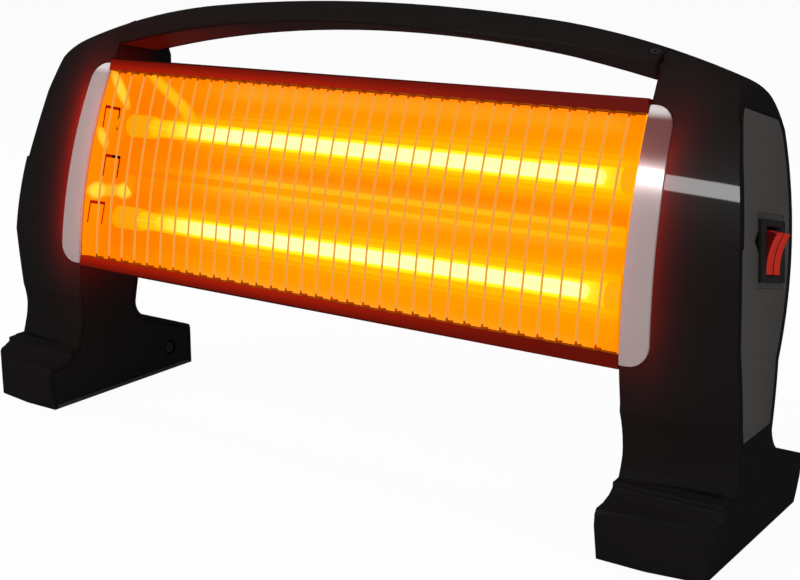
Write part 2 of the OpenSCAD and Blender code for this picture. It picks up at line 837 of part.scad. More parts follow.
// End of the heating chamber, with lanced tabs for cooling and holes for the tubes' caps
cap_ro = 7;
cap_hole = cap_ro + 0.2;
wire_hole_v = 46;
lances = [[-0.5, -30], [6.5, -0.5], [0.3, 29]];
lance_v = 14;
lance_u = 14;
lance_cut = 2;
wire_hole_r = 3;
plate_lip_u = half_open - gap;
plate_u = half_body - sheet - side_gap;
edge_r = front_r - 0.6;
edge_cv = (front_cy - face_y) * cos(tilt) - (front_cz - face_z) * sin(tilt);
edge_cu = (front_cy - face_y) * sin(tilt) + (front_cz - face_z) * cos(tilt);
function edge_v(u) = edge_cv - sqrt(edge_r * edge_r - (u - edge_cu) * (u - edge_cu));
plate_v1 = rail_flange - 3.7;
plate_v2 = body_depth - chamfer_v - 2;
plate_v3 = body_depth - sheet - side_gap;
module chamber_end() {
  half = [[plate_v1, plate_lip_u], [plate_v1, plate_u], [plate_v2, plate_u],
          [plate_v3, half_body - chamfer_u - sheet]];
  difference() {
    between_stands(side_gap)
      on_body()
        difference() {
          along_x(concat(half, [for (i = [len(half) - 1 : -1 : 0]) [half[i][0], -half[i][1]]],
                         [for (i = [-6 : 6]) let (u = plate_lip_u * i / 6) [edge_v(u), u]]),
                  0, half_w);
          for (p = lances)
            translate([0, p[0], p[1] - lance_u / 2]) difference() {
              cube([half_w, lance_v, lance_u]);
              translate([-1, lance_cut, -1])
                cube([half_w + 2, lance_v - 2 * lance_cut, lance_u - lance_cut + 1]);
            }
          for (u = tube_us)
            translate([0, tube_depth, u])
              rotate([0, 90, 0]) cylinder(r = cap_hole, h = half_w, $fn = 64);
          translate([0, wire_hole_v, 0])
            rotate([0, 90, 0]) cylinder(r = wire_hole_r, h = half_w, $fn = 32);
        }
    between_stands(side_gap + sheet)
      translate([-10, -reach / 2, 0]) cube([half_w, reach, height]);
  }
}

// Places something along a tube's axis, turned so that its z runs to the right
module on_tube(i) {
  on_body() translate([0, tube_depth, tube_us[i]]) rotate([0, 90, 0]) children();
}
function tube_z(i) = body_point(tube_depth, tube_us[i])[1];

module quartz_tube(i) {
  on_tube(i) difference() {
    cylinder(r = tube_d / 2, h = tube_len, center = true, $fn = 64);
    cylinder(r = tube_d / 2 - quartz, h = tube_len + 2, center = true, $fn = 64);
  }
}

// Ceramic cap on the right end of a tube
cap_in = 6;
cap_out = 20;
module end_cap(i) {
  on_tube(i) translate([0, 0, tube_len / 2]) difference() {
    translate([0, 0, -cap_in]) cylinder(r = cap_ro, h = cap_in + cap_out, $fn = 64);
    translate([0, 0, -cap_in - 1]) cylinder(r = tube_d / 2 + 0.1, h = cap_in + 1 + fit, $fn = 64);
  }
}

// Spring clip round a cap, just outside the chamber's end
clip_t = 0.8;
clip_w = 2.2;
module clip(i) {
  on_tube(i) translate([0, 0, inner_at(tube_z(i)) + 0.1]) difference() {
    cylinder(r = cap_ro + clip_w, h = clip_t, $fn = 64);
    translate([0, 0, -1]) cylinder(r = cap_ro + fit, h = clip_t + 2, $fn = 64);
    translate([0, -1.5, -1]) cube([20, 3, clip_t + 2]);
  }
}

// Terminal tab at the end of a cap
term_x = tube_len / 2 + cap_out;
term_l = 8;
module tab(i) {
  on_tube(i) translate([0, 0, term_x + fit]) difference() {
    translate([-tab_w / 2, -tab_t / 2, 0]) cube([tab_w, tab_t, term_l]);
    translate([0, 2, term_l - 2.5]) rotate([90, 0, 0]) cylinder(r = 0.9, h = 4, $fn = 24);
  }
}

// A heating coil: one wire wound in a helix, drawn in to straight leads at both ends
rings = 8;
sides = 6;
coil_r = (coil_d - coil_wire) / 2;
draw_in = 4;
draw_step = 1.6;
lead_end = tube_len / 2 - 0.3;
coil_rings = coil_turns * rings;
coil_pitch = coil_len / coil_turns;
// [distance along the axis, angle, radius] of each point of the wire's middle
half_coil = coil_len / 2;
function coil_end(k) = let (t = k / draw_in)
    [half_coil + k * draw_step, (coil_rings / 2) * 360 / rings + 100 * t * (1 - t / 2),
     coil_r * (1 - t)];
coil_path = concat(
    [[-lead_end, coil_end(draw_in)[1] * -1, 0]],
    [for (k = [draw_in : -1 : 1]) let (p = coil_end(k)) [-p[0], -p[1], p[2]]],
    [for (i = [0 : coil_rings]) [coil_len * (i / coil_rings - 0.5),
                                 (i - coil_rings / 2) * 360 / rings, coil_r]],
    [for (k = [1 : draw_in]) coil_end(k)],
    [[lead_end, coil_end(draw_in)[1], 0]]);
coil_points = [for (p = coil_path) [p[2] * cos(p[1]), p[2] * sin(p[1]), p[0]]];
function unit(v) = v / norm(v);
function coil_ring(i) =
    let (last = len(coil_points) - 1,
         t = unit(coil_points[min(i + 1, last)] - coil_points[max(i - 1, 0)]),
         a = coil_path[i][1],
         out = [cos(a), sin(a), 0],
         n = unit(out - (out * t) * t),
         b = cross(t, n))
    [for (k = [0 : sides - 1]) coil_points[i]
        + coil_wire / 2 * (cos(k * 360 / sides) * n + sin(k * 360 / sides) * b)];
module coil() {
  count = len(coil_points);
  points = [for (i = [0 : count - 1]) each coil_ring(i)];
  walls = [for (i = [0 : count - 2], k = [0 : sides - 1])
             let (k1 = (k + 1) % sides, a = i * sides, b = a + sides)
             each [[a + k, b + k1, a + k1], [a + k, b + k, b + k1]]];
  first = [for (k = [1 : sides - 2]) [0, k, k + 1]];
  end = (count - 1) * sides;
  final = [for (k = [1 : sides - 2]) [end, end + k + 1, end + k]];
  polyhedron(points, concat(walls, first, final), convexity = 10);
}
self_gap = min([for (i = [0 : len(coil_points) - 1],
                     j = [i + rings / 2 : min(i + 2 * rings, len(coil_points) - 1)])
                  norm(coil_points[i] - coil_points[j]) - coil_wire]);
echo("least gap of a heating coil to itself, mm", self_gap);

// Parts in the right foot
block = [34, 14, 12];
block_y = -22;
block_top = plate_z + fit + block[2];
module terminals_block() {
  translate([foot_mid - block[0] / 2, block_y - block[1] / 2, plate_z + fit])
    difference() {
      cube(block);
      for (x = [-2 : 2])
        translate([block[0] / 2 + x * 6.4 - 1.6, 3, 6]) cube([3.2, block[1] - 6, 10]);
      for (x = [-1.5 : 1.5])
        translate([block[0] / 2 + x * 6.4 - 0.4, -1, 9]) cube([0.8, block[1] + 2, 5]);
    }
}
tip_body = [24, 12, 19];
flange_z = 8.8;
flange_t = 1.2;
flange_r = plunger_r + 1.5;
plunger_l = 16;
module tip_box() {
  translate([foot_mid, plunger_y, plate_z + fit]) difference() {
    translate([-tip_body[0] / 2, -tip_body[1] / 2, 0]) cube(tip_body);
    translate([0, 0, -1])
      cylinder(r = flange_r + gap, h = flange_z + flange_t + gap - plate_z + 1, $fn = 48);
    translate([0, 0, -1]) cylinder(r = plunger_r + fit, h = plunger_l - plate_z + 2, $fn = 48);
  }
}
module plunger() {
  translate([foot_mid, plunger_y, 0]) {
    cylinder(r = plunger_r, h = plunger_l, $fn = 48);
    translate([0, 0, flange_z]) cylinder(r = flange_r, h = flange_t, $fn = 48);
  }
}
module inlet_bush() {
  at_inlet() difference() {
    union() {
      cylinder(r = inlet_flange, h = inlet_rim, $fn = 64);
      cylinder(r = inlet_body, h = inlet_len, $fn = 64);
    }
    translate([0, 0, -1]) cylinder(r = inlet_r, h = inlet_len + 2, $fn = 64);
  }
}

// An insulated wire through the given points
insul_r = 1.3;
module wire(points) {
  for (i = [0 : len(points) - 2]) {
    run = points[i + 1] - points[i];
    translate(points[i])
      rotate([0, acos(run[2] / norm(run)), atan2(run[1], run[0])])
        cylinder(r = insul_r, h = norm(run), $fn = 16);
  }
  for (i = [1 : len(points) - 2])
    translate(points[i]) sphere(r = insul_r + knee, $fn = 16);
}
function tab_point(i) = let (p = body_point(tube_depth, tube_us[i]))
    [term_x + term_l + 2 * gap, p[0], p[1]];
function switch_point(y, z) = let (down = y * sin(switch_lean))
    [outer_at(switch_z) + down * sin(switch_a) + z * cos(switch_a),
     switch_y + y * cos(switch_lean), switch_z - down * cos(switch_a) + z * sin(switch_a)];
tab_z = -body_d - tab_l - gap;
lane_x = foot_mid - 9.25;
back_x = foot_mid + 8;
near_x = foot_mid - 8;
over_block = 6.65;
module feed_wires() {
  top = plate_z + fit + tip_body[2] + gap;
  high = block_top + over_block;
  tip_front = plunger_y - tip_body[1] / 2 - gap;
  wire([[back_x, block_y, block_top + gap], [back_x, block_y, high],
        [back_x, tip_front - 5.7, high], [back_x, tip_front - 5.7, high - 10],
        [back_x, tip_front, high - 10]]);
  wire([[near_x, plunger_y, top], [near_x, plunger_y, switch_z - 86],
        [near_x, switch_y - 25, switch_z - 54], [near_x, switch_y - 25, switch_z - 20],
        [lane_x + 3, switch_y - 14, switch_z - 6], switch_point(tab_ys[0], tab_z)]);
  for (i = [0, 1]) {
    end = tab_point(i);
    side = i == 0 ? -1 : 1;
    wire([switch_point(tab_ys[2 - i], tab_z), [lane_x, switch_y + tab_ys[2 - i], switch_z - 4],
          [lane_x, end[1], end[2] + 6 * side], [end[0] + 3, end[1], end[2] + side], end]);
  }
}
module bridge_wires() {
  a = tab_point(0);
  b = tab_point(1);
  c = body_point(wire_hole_v, 0);
  side_x = a[0] + 5;
  middle = (a + b) / 2;
  wire([[-a[0], a[1], a[2]], [-side_x, a[1], a[2]], [-side_x, b[1], b[2]],
        [-b[0], b[1], b[2]]]);
  wire([[2 * insul_r + gap - side_x, middle[1], middle[2]], [-side_x + 5, c[0], c[1]],
        [side_x - 4, c[0], c[1]], [side_x, c[0] - 3, c[1] - 30], [side_x, c[0] - 17, c[1] - 60],
        [side_x, block_y + 8, block_top + 25], [near_x, block_y, block_top + over_block],
        [near_x, block_y, block_top + gap]]);
}

module right_side_shell() { color(gloss_black) shell(true); }
module left_side_shell() { color(gloss_black) mirror([1, 0, 0]) shell(false); }
module right_inner_panel() { color(gloss_black) inner_panel(); }
module left_inner_panel() { color(gloss_black) mirror([1, 0, 0]) inner_panel(); }
module right_side_cover() { color(satin_grey) cover(true); }
module left_side_cover() { color(satin_grey) mirror([1, 0, 0]) cover(false); }
module right_base_plate() { color(satin_grey) base_plate(true); }
module left_base_plate() { color(satin_grey) mirror([1, 0, 0]) base_plate(false); }
module rubber_pads() { color("#222222") both_sides() pads(); }
module base_screws() {
  color(silver) both_sides()
    for (y = screw_ys) translate([foot_mid, y, base_seat]) screw(head_r, base_head_h, base_screw_l);
}
module panel_screws() {
  color(silver) both_sides()
    translate([inner_x + cup_d, panel_screw[0], panel_screw[1]])
      rotate([0, 90, 0]) screw(head_r, panel_head_h, panel_screw_l);
}
module handle_shell() { color(gloss_black) between_stands(gap) grip_shell(); }
module handle_underside() { color(gloss_black) between_stands(gap) grip_plate(); }
module handle_screws() {
  color(silver) both_sides() at_handle_screw()
    translate([0, 0, -handle_sink])
      mirror([0, 0, 1]) screw(handle_head_r, handle_head_h, handle_screw_l);
}
module right_trim() {
  color(silver) front_band(trim_r - trim_t, trim_r) along_y(trim_outline(0));
}
module left_trim() { mirror([1, 0, 0]) right_trim(); }
module top_rail() { color(dark_metal) between_stands(gap) on_body() rail_bar(); }
module bottom_rail() {
  color(dark_metal) between_stands(gap) on_body() mirror([0, 0, 1]) rail_bar();
}
module guard_wires() { color("#7a6a60") for (i = [0 : wires - 1]) guard_wire(wire_x(i)); }
module housing_back() { color(satin_grey) body_back(); }
module reflector() { color("#e8b060") mirror_sheet(); }
module right_end_plate() { color("#c89050") chamber_end(); }
module left_end_plate() { mirror([1, 0, 0]) right_end_plate(); }
module upper_quartz_tube() { color("#ffd890") quartz_tube(0); }
module lower_quartz_tube() { color("#ffd890") quartz_tube(1); }
module upper_heating_coil() { color("#ffb040") on_tube(0) coil(); }
module lower_heating_coil() { color("#ffb040") on_tube(1) coil(); }
module upper_end_caps() { color("#e8e0d4") both_sides() end_cap(0); }
module lower_end_caps() { color("#e8e0d4") both_sides() end_cap(1); }
module cap_clips() { color(silver) both_sides() for (i = [0, 1]) clip(i); }
module tube_terminals() { color(silver) both_sides() for (i = [0, 1]) tab(i); }
module switch_housing() { color(gloss_black) switch_box(); }
module front_rocker() { color("#c01818") rocker(-1); }
module rear_rocker() { color("#c01818") rocker(1); }
module rocker_pin() {
  color(silver) at_switch() translate([0, -body_w / 2, pivot_z])
    rotate([-90, 0, 0]) cylinder(r = pin_r, h = body_w, $fn = 32);
}
module terminal_block() { color("#e8e4d8") terminals_block(); }
module tip_switch() { color(gloss_black) tip_box(); }
module tip_plunger() { color("#d8d4c8") plunger(); }
module cord_inlet() { color(gloss_black) inlet_bush(); }
module mains_wires() { color("#7a3b1c") feed_wires(); }
module return_wires() { color("#2a50a0") bridge_wires(); }

right_side_shell();
left_side_shell();
right_inner_panel();
left_inner_panel();
right_side_cover();
left_side_cover();
right_base_plate();
left_base_plate();
rubber_pads();
base_screws();
panel_screws();
handle_shell();
handle_underside();
handle_screws();
right_trim();
left_trim();
top_rail();
bottom_rail();
guard_wires();
housing_back();
reflector();
right_end_plate();
left_end_plate();
upper_quartz_tube();
lower_quartz_tube();
upper_heating_coil();
lower_heating_coil();
upper_end_caps();
lower_end_caps();
cap_clips();
tube_terminals();
switch_housing();
front_rocker();
rear_rocker();
rocker_pin();
terminal_block();
tip_switch();
tip_plunger();
cord_inlet();
mains_wires();
return_wires();
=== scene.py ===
"""Dresses the two-bar quartz heater: glossy moulded stands and handle, glowing tubes,
polished reflector, wire guard, silver trims and the twin rocker switch."""
import functools
import math
from collections import namedtuple

import bpy
from mathutils import Matrix, Vector


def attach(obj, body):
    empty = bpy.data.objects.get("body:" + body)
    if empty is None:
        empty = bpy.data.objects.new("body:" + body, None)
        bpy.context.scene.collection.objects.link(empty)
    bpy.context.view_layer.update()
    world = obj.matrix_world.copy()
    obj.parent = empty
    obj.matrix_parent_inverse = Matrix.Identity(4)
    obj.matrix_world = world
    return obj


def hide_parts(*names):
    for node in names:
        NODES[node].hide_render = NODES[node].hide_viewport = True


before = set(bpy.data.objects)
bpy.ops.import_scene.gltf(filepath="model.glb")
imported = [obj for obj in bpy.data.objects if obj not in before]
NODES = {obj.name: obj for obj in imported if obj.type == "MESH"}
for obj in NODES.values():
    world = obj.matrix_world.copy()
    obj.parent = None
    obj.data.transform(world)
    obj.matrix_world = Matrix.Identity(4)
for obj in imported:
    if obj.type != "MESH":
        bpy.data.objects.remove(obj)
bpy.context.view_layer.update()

bl_info = {
    "name": "Two-bar Quartz Heater",
    "version": (1, 0, 0),
    "blender": (4, 5, 0),
    "location": "3D View > Sidebar > Heater",
    "description": "Finishes the pieces of a two-bar quartz heater around its CAD frame",
    "category": "Object",
}

ROOT = "root"
MM = 0.001

# The leaning body: its front face's middle, its lean, and its tubes' depth and heights
FACE_Y = -21.7 * MM
FACE_Z = 151.2 * MM
LEAN = math.radians(14)
TUBE_DEPTH = 27.3 * MM
TUBE_US = (26.6 * MM, -31.2 * MM)

# The direction of the rockers' pin, its middle along that, and a rocker's middle beside it
PIN_AXIS = (0.030575, 0.97667, -0.21255)
PIN_MIDDLE = -12.24 * MM
ROCKER_SIDE = 4.55 * MM

# The switch's outward direction, how far out the cover's face lies along it, and its middle
SWITCH_OUT = (0.9898, 0, 0.1424)
SWITCH_FACE = 254.7 * MM
SWITCH_MIDDLE = (236.6 * MM, 11.4 * MM, 144 * MM)

# The cover's lowered edge and pointer, which get painted shade: how far below its face, from the
# switch and ahead of it
POINTER_DROP = 0.6 * MM
POINTER_REACH = 24 * MM
POINTER_AHEAD = 14.8 * MM

# The arc of the stands' front, seen from the side: its centre, its radius, how far a point may
# lie off it, and from where to where it runs above its centre
FRONT_Y = 247.7 * MM
FRONT_Z = 80 * MM
FRONT_R = 284 * MM
FRONT_SLACK = 0.25 * MM
FRONT_FROM = -6 * MM
FRONT_TO = 125 * MM

# How far the trims stand proud of that arc, and how far its centre is raised for their normal
TRIM_PROUD = 1 * MM
TRIM_LIFT = 2.2 * MM

# The arc of the stands' outer face, seen from the front: its widest point and its radius
SIDE_X = 242.6 * MM
SIDE_Z = 60 * MM
SIDE_R = 590 * MM

# The facet between the two arcs: where it starts, and how far it lies inside each of them
FACET_X = 210 * MM
FACET_INSET = 0.5 * MM
FACET_DEPTH = 8 * MM

# Edges of the small pieces
TRIM_EDGE = 0.7 * MM
TRIM_SHADED_EDGE = 0.8 * MM
ROCKER_EDGE = 0.4 * MM
SWITCH_EDGE = 0.35 * MM
PAD_EDGE = 0.3 * MM
SCREW_EDGE = 0.25 * MM
EDGE_SEGMENTS = 3

# What counts as one corner, as one flat face, as a sharp edge and as a smooth one
MERGE_WITHIN = 2e-6
FLAT_WITHIN = math.radians(0.4)
SHARP_FROM = math.radians(30)
SMOOTH_WITHIN = math.radians(35)

# The winding: points in a turn, the wire's radius, and the lead's end from the middle
TURN_POINTS = 12
WIRE_R = 0.5 * MM
LEAD_END = 165.6 * MM

# The grain: detail of its fine noise, scale and detail of its broad one, and its depth
FINE_DETAIL = 3
BROAD_SCALE = 22
BROAD_DETAIL = 4
NOISE_MEAN = 0.5
GRAIN_DEPTH = 0.1 * MM

# Dust: how much of a colour it keeps, and how pale it makes it
DUST_KEEPS = 0.55
DUST_PALE = 0.22

# The clear coat, and the rays that find a rounded edge
COAT_ROUGHNESS = 0.03
ROUNDING_SAMPLES = 6

# The glow beside the opening: its reach, the half height of the opening that gives it off, how
# much the square of a height counts, from where it fades to the back and by how much a metre
GLOW_REACH = 6 * MM
GLOW_HALF_HEIGHT = 38 * MM
GLOW_RISE = 0.25
GLOW_FADE_Y = -20 * MM
GLOW_FADE = 18.0

# The share of the glow that the left and the right stand catch
GLOW_LEFT = 1.0
GLOW_RIGHT = 0.44

# Where the glow starts from the middle, on the stands and on the trims
STAND_GLOW_X = 194 * MM
TRIM_GLOW_X = 181 * MM

# Height up the lean in millimetres, and how yellow the painted light of the coils makes the
# reflector there
BANDS = ((-57, 0.22), (-50, 0.26), (-42, 0.36), (-37, 0.48), (-25, 0.46), (-19, 0.32),
         (-12, 0.25), (-7.5, 0.26), (-6.5, 0.38), (2.5, 0.38), (3.5, 0.19), (9, 0.20),
         (16, 0.36), (21, 0.48), (32, 0.48), (38, 0.34), (47, 0.24), (57, 0.20))
BANDS_HALF = 60.0

# Painted reflections of the tubes on a chamber end, as streaks and spots: centre and half size
# in millimetres, each behind the face and up the lean, then the turn in degrees and the strength
END_REFLECTIONS = (((15, -15.5), (26, 5.0), 5, 0.45), ((4, -16.5), (9, 6.5), 3, 1.0),
             ((28, -14.5), (9, 6.5), 8, 1.0), ((11, 47), (17, 5.0), -48, 0.85),
             ((2, 16), (9, 4.5), -52, 0.75))

# How strongly what the coils light shines
LIT_METAL = 0.92
LIT_CERAMIC = 0.95

# The camera: its place, its direction and roll in degrees, its sensor and its focal length
CAMERA_PLACE = (462.15 * MM, -624.75 * MM, 292.65 * MM)
CAMERA_AZIMUTH = 34.56
CAMERA_ELEVATION = 14.437
CAMERA_ROLL = 0.119
SENSOR_MM = 36
FOCAL_PX = 1417.52
FRAME_PX = 800

# The sky, how strong it is, and how strong it is in what mirrors it
WHITE = (1, 1, 1)
SKY_COLOUR = (0.95, 0.96, 1.0)
SKY_STRENGTH = 0.35
MIRRORED_SKY = 0.03

# The softboxes: name, place and size in metres, and power in watts, and what they aim at
SOFTBOXES = (("Key softbox", (-0.9, -1.3, 1.5), 1.0, 16),
             ("Fill softbox", (1.7, -0.5, 0.9), 0.9, 7),
             ("Top softbox", (0.0, 0.5, 1.7), 1.2, 10))
SOFTBOX_AIM = (0, 0, 0.13)

# The strip that shows as a band across the trim and the stand's front
STRIP_PLACE = (-0.385, -1.265, 0.866)
STRIP_AIM = (0.2, -0.02, 0.175)
STRIP_WIDTH = 0.7
STRIP_HEIGHT = 0.095
STRIP_POWER = 3.6

# The floor: its size in metres, its colour, and the share of white that the camera sees
FLOOR_SIZE = 20
FLOOR_COLOUR = (0.86, 0.86, 0.86)
FLOOR_ROUGHNESS = 0.8
FLOOR_SPECULAR = 0.1
FLOOR_WHITE = 0.95

# Operations on vectors whose result is a number
MEASURES = ("LENGTH", "DISTANCE", "DOT_PRODUCT")

Parts = namedtuple("Parts", "x y z")


# ---------------------------------------------------------------- sizes and colours

class HeaterSizes(bpy.types.PropertyGroup):
    """Sizes that the finish adds to the CAD pieces"""
    edge: bpy.props.FloatProperty(
        name="Edge radius", description="Rounding of the edges of a small moulded piece",
        default=0.8 * MM, min=0.1 * MM, max=2 * MM, unit="LENGTH")
    moulded_edge: bpy.props.FloatProperty(
        name="Stand edge radius", description="Rounding of the edges of the glossy mouldings",
        default=2.0 * MM, min=0.1 * MM, max=3 * MM, unit="LENGTH")
    coil_radius: bpy.props.FloatProperty(
        name="Coil radius", description="Radius of a coil at the middle of its wire",
        default=3.35 * MM, min=2.5 * MM, max=4 * MM, unit="LENGTH")
    coil_length: bpy.props.FloatProperty(
        name="Coil length", description="Length of the wound stretch of a coil",
        default=297 * MM, min=200 * MM, max=310 * MM, unit="LENGTH")
    coil_turns: bpy.props.IntProperty(
        name="Coil turns", description="Turns of the close winding", default=220, min=40, max=260)


class HeaterColours(bpy.types.PropertyGroup):
    """Colours of the finishes"""
    plastic: bpy.props.FloatVectorProperty(
        name="Glossy plastic", description="Colour of the stands and the handle",
        subtype="COLOR", size=3, default=(0.009, 0.008, 0.0075), min=0, max=1)
    cover: bpy.props.FloatVectorProperty(
        name="Side cover", description="Colour of the satin side covers",
        subtype="COLOR", size=3, default=(0.075, 0.070, 0.064), min=0, max=1)
    trim: bpy.props.FloatVectorProperty(
        name="Trim", description="Colour of the silver trim plates",
        subtype="COLOR", size=3, default=(0.50, 0.40, 0.39), min=0, max=1)
    rail: bpy.props.FloatVectorProperty(
        name="Rails", description="Colour of the enamelled rails",
        subtype="COLOR", size=3, default=(0.02, 0.002, 0.001), min=0, max=1)
    rocker: bpy.props.FloatVectorProperty(
        name="Rockers", description="Colour of the two rockers",
        subtype="COLOR", size=3, default=(0.62, 0.025, 0.012), min=0, max=1)


def sizes():
    return bpy.context.scene.heater_sizes


def colours():
    return bpy.context.scene.heater_colours


# ---------------------------------------------------------------- shader helpers

def made_once(store, name):
    """Lets a function make its material or node group once, and give the same one after."""
    def decorate(make):
        @functools.wraps(make)
        def give():
            return getattr(bpy.data, store).get(name) or make(name)
        return give
    return decorate


def new_material(name):
    material = bpy.data.materials.new(name)
    material.use_nodes = True
    tree = material.node_tree
    return material, tree, tree.nodes["Principled BSDF"]


def feed(tree, node, inputs):
    """Links a node's inputs to other sockets, or sets them. Colours are given without alpha."""
    for key, value in inputs.items():
        socket = node.inputs[key]
        if isinstance(value, bpy.types.NodeSocket):
            tree.links.new(value, socket)
        elif socket.type == "RGBA":
            socket.default_value = (*value, 1)
        else:
            socket.default_value = value


def add(tree, kind, inputs=None, **settings):
    """A new node with its settings, and its inputs linked or set."""
    node = tree.nodes.new(kind)
    for key, value in settings.items():
        setattr(node, key, value)
    feed(tree, node, inputs or {})
    return node


def math_node(tree, operation, *values, clamp=False):
    """One step of arithmetic on sockets and numbers."""
    node = add(tree, "ShaderNodeMath", dict(enumerate(values)), operation=operation,
               use_clamp=clamp)
    return node.outputs[0]


def vector_node(tree, operation, *values):
    """One step of arithmetic on vectors."""
    node = add(tree, "ShaderNodeVectorMath", dict(enumerate(values)), operation=operation)
    return node.outputs["Value" if operation in MEASURES else "Vector"]


def product(tree, first, *others):
    """All the values multiplied together. Of masks, it is where all of them hold."""
    for value in others:
        first = math_node(tree, "MULTIPLY", first, value)
    return first


def object_place(tree):
    """Where a point lies, in metres, in the pose of rest."""
    return add(tree, "ShaderNodeTexCoord").outputs["Object"]


def parts_of(tree, vector):
    split = add(tree, "ShaderNodeSeparateXYZ", {0: vector})
    return Parts(split.outputs["X"], split.outputs["Y"], split.outputs["Z"])


def body_place(tree):
    """Where a point lies on the leaning body: x across it, y behind its face, z up the lean."""
    shift = add(tree, "ShaderNodeMapping",
                {"Vector": object_place(tree), "Location": (0, -FACE_Y, -FACE_Z)})
    lean = add(tree, "ShaderNodeMapping",
               {"Vector": shift.outputs["Vector"], "Rotation": (LEAN, 0, 0)})
    return parts_of(tree, lean.outputs["Vector"])


def ramp_between(tree, value, start, end):
    """Rises from 0 at start to 1 at end, with soft ends."""
    node = add(tree, "ShaderNodeMapRange",
               {"Value": value, "From Min": start, "From Max": end},
               interpolation_type="SMOOTHSTEP")
    return node.outputs["Result"]


def spot(tree, a, b, centre, half, turn=0.0):
    """A soft ellipse in two coordinates, from 1 at its centre to 0 at its edge.

    half holds its half sizes, and turn is in degrees.
    """
    from_a = math_node(tree, "SUBTRACT", a, centre[0])
    from_b = math_node(tree, "SUBTRACT", b, centre[1])
    c, s = math.cos(math.radians(turn)), math.sin(math.radians(turn))
    along = math_node(tree, "MULTIPLY_ADD", from_b, s / half[0],
                      product(tree, from_a, c / half[0]))
    over = math_node(tree, "MULTIPLY_ADD", from_b, c / half[1],
                     product(tree, from_a, -s / half[1]))
    far = math_node(tree, "ADD", product(tree, along, along), product(tree, over, over))
    return ramp_between(tree, far, 1.0, 0.0)


def mixed(tree, factor, a, b, kind="RGBA"):
    """Blends two colours, or vectors: a where the factor is 0, and b where it is 1."""
    node = add(tree, "ShaderNodeMix", {"Factor": factor, "A": a, "B": b}, data_type=kind)
    return node.outputs["Result"]


def mixed_shader(tree, factor, a, b):
    """Blends the shaders that two nodes give."""
    return add(tree, "ShaderNodeMixShader", {0: factor, 1: a.outputs[0], 2: b.outputs[0]})


def shine(tree, shader, colour, strength=1.0):
    """Sets what a material gives off."""
    feed(tree, shader, {"Emission Color": colour, "Emission Strength": strength})


# ---------------------------------------------------------------- shared effects

def group_of(name, inputs, outputs):
    """A new node group with named number sockets, and its two end nodes."""
    tree = bpy.data.node_groups.new(name, "ShaderNodeTree")
    for label, value in inputs.items():
        socket = tree.interface.new_socket(label, in_out="INPUT", socket_type="NodeSocketFloat")
        socket.default_value = value
    for label in outputs:
        tree.interface.new_socket(label, in_out="OUTPUT", socket_type="NodeSocketFloat")
    return tree, tree.nodes.new("NodeGroupInput"), tree.nodes.new("NodeGroupOutput")


@made_once("node_groups", "Moulded grain")
def grain_group(name):
    """Fine moulded or drawn grain: a roughness and a height that change over the surface."""
    tree, given, out = group_of(
        name, {"Roughness": 0.3, "Variation": 0.05, "Scale": 900.0, "Dust": 0.02},
        ("Roughness", "Height", "Dust"))
    place = object_place(tree)
    fine = add(tree, "ShaderNodeTexNoise",
               {"Vector": place, "Scale": given.outputs["Scale"], "Detail": FINE_DETAIL})
    broad = add(tree, "ShaderNodeTexNoise",
                {"Vector": place, "Scale": BROAD_SCALE, "Detail": BROAD_DETAIL})
    swing = math_node(tree, "SUBTRACT", broad.outputs["Fac"], NOISE_MEAN)
    change = product(tree, swing, given.outputs["Variation"])
    rough = math_node(tree, "MULTIPLY_ADD", change, 1 / NOISE_MEAN, given.outputs["Roughness"],
                      clamp=True)
    feed(tree, out, {"Roughness": rough, "Height": fine.outputs["Fac"],
                     "Dust": product(tree, broad.outputs["Fac"], given.outputs["Dust"])})
    return tree


@made_once("node_groups", "Heat glow")
def glow_group(name):
    """How strongly the lit opening shines on a point: falls off from the opening's edges."""
    tree, given, out = group_of(name, {"Reach": 0.012, "Edge": 0.19}, ("Mask",))
    at = parts_of(tree, object_place(tree))
    past_edge = math_node(tree, "SUBTRACT", math_node(tree, "ABSOLUTE", at.x),
                          given.outputs["Edge"])
    off = math_node(tree, "MAXIMUM", past_edge, 0.0)
    height = math_node(tree, "ABSOLUTE", math_node(tree, "SUBTRACT", at.z, FACE_Z))
    beyond = math_node(tree, "MAXIMUM",
                       math_node(tree, "SUBTRACT", height, GLOW_HALF_HEIGHT), 0.0)
    far = math_node(tree, "SQRT", math_node(tree, "ADD", product(tree, off, off),
                                            product(tree, beyond, beyond, GLOW_RISE)))
    fall = math_node(tree, "DIVIDE", far, given.outputs["Reach"])
    strength = math_node(tree, "EXPONENT", product(tree, fall, -1.0))
    behind = math_node(tree, "SUBTRACT", at.y, GLOW_FADE_Y)
    ahead = math_node(tree, "SUBTRACT", 1.0, product(tree, behind, GLOW_FADE), clamp=True)
    share = math_node(tree, "MULTIPLY_ADD", math_node(tree, "SIGN", at.x),
                      (GLOW_RIGHT - GLOW_LEFT) / 2, (GLOW_RIGHT + GLOW_LEFT) / 2)
    feed(tree, out, {"Mask": math_node(tree, "MULTIPLY", product(tree, strength, ahead), share,
                                       clamp=True)})
    return tree


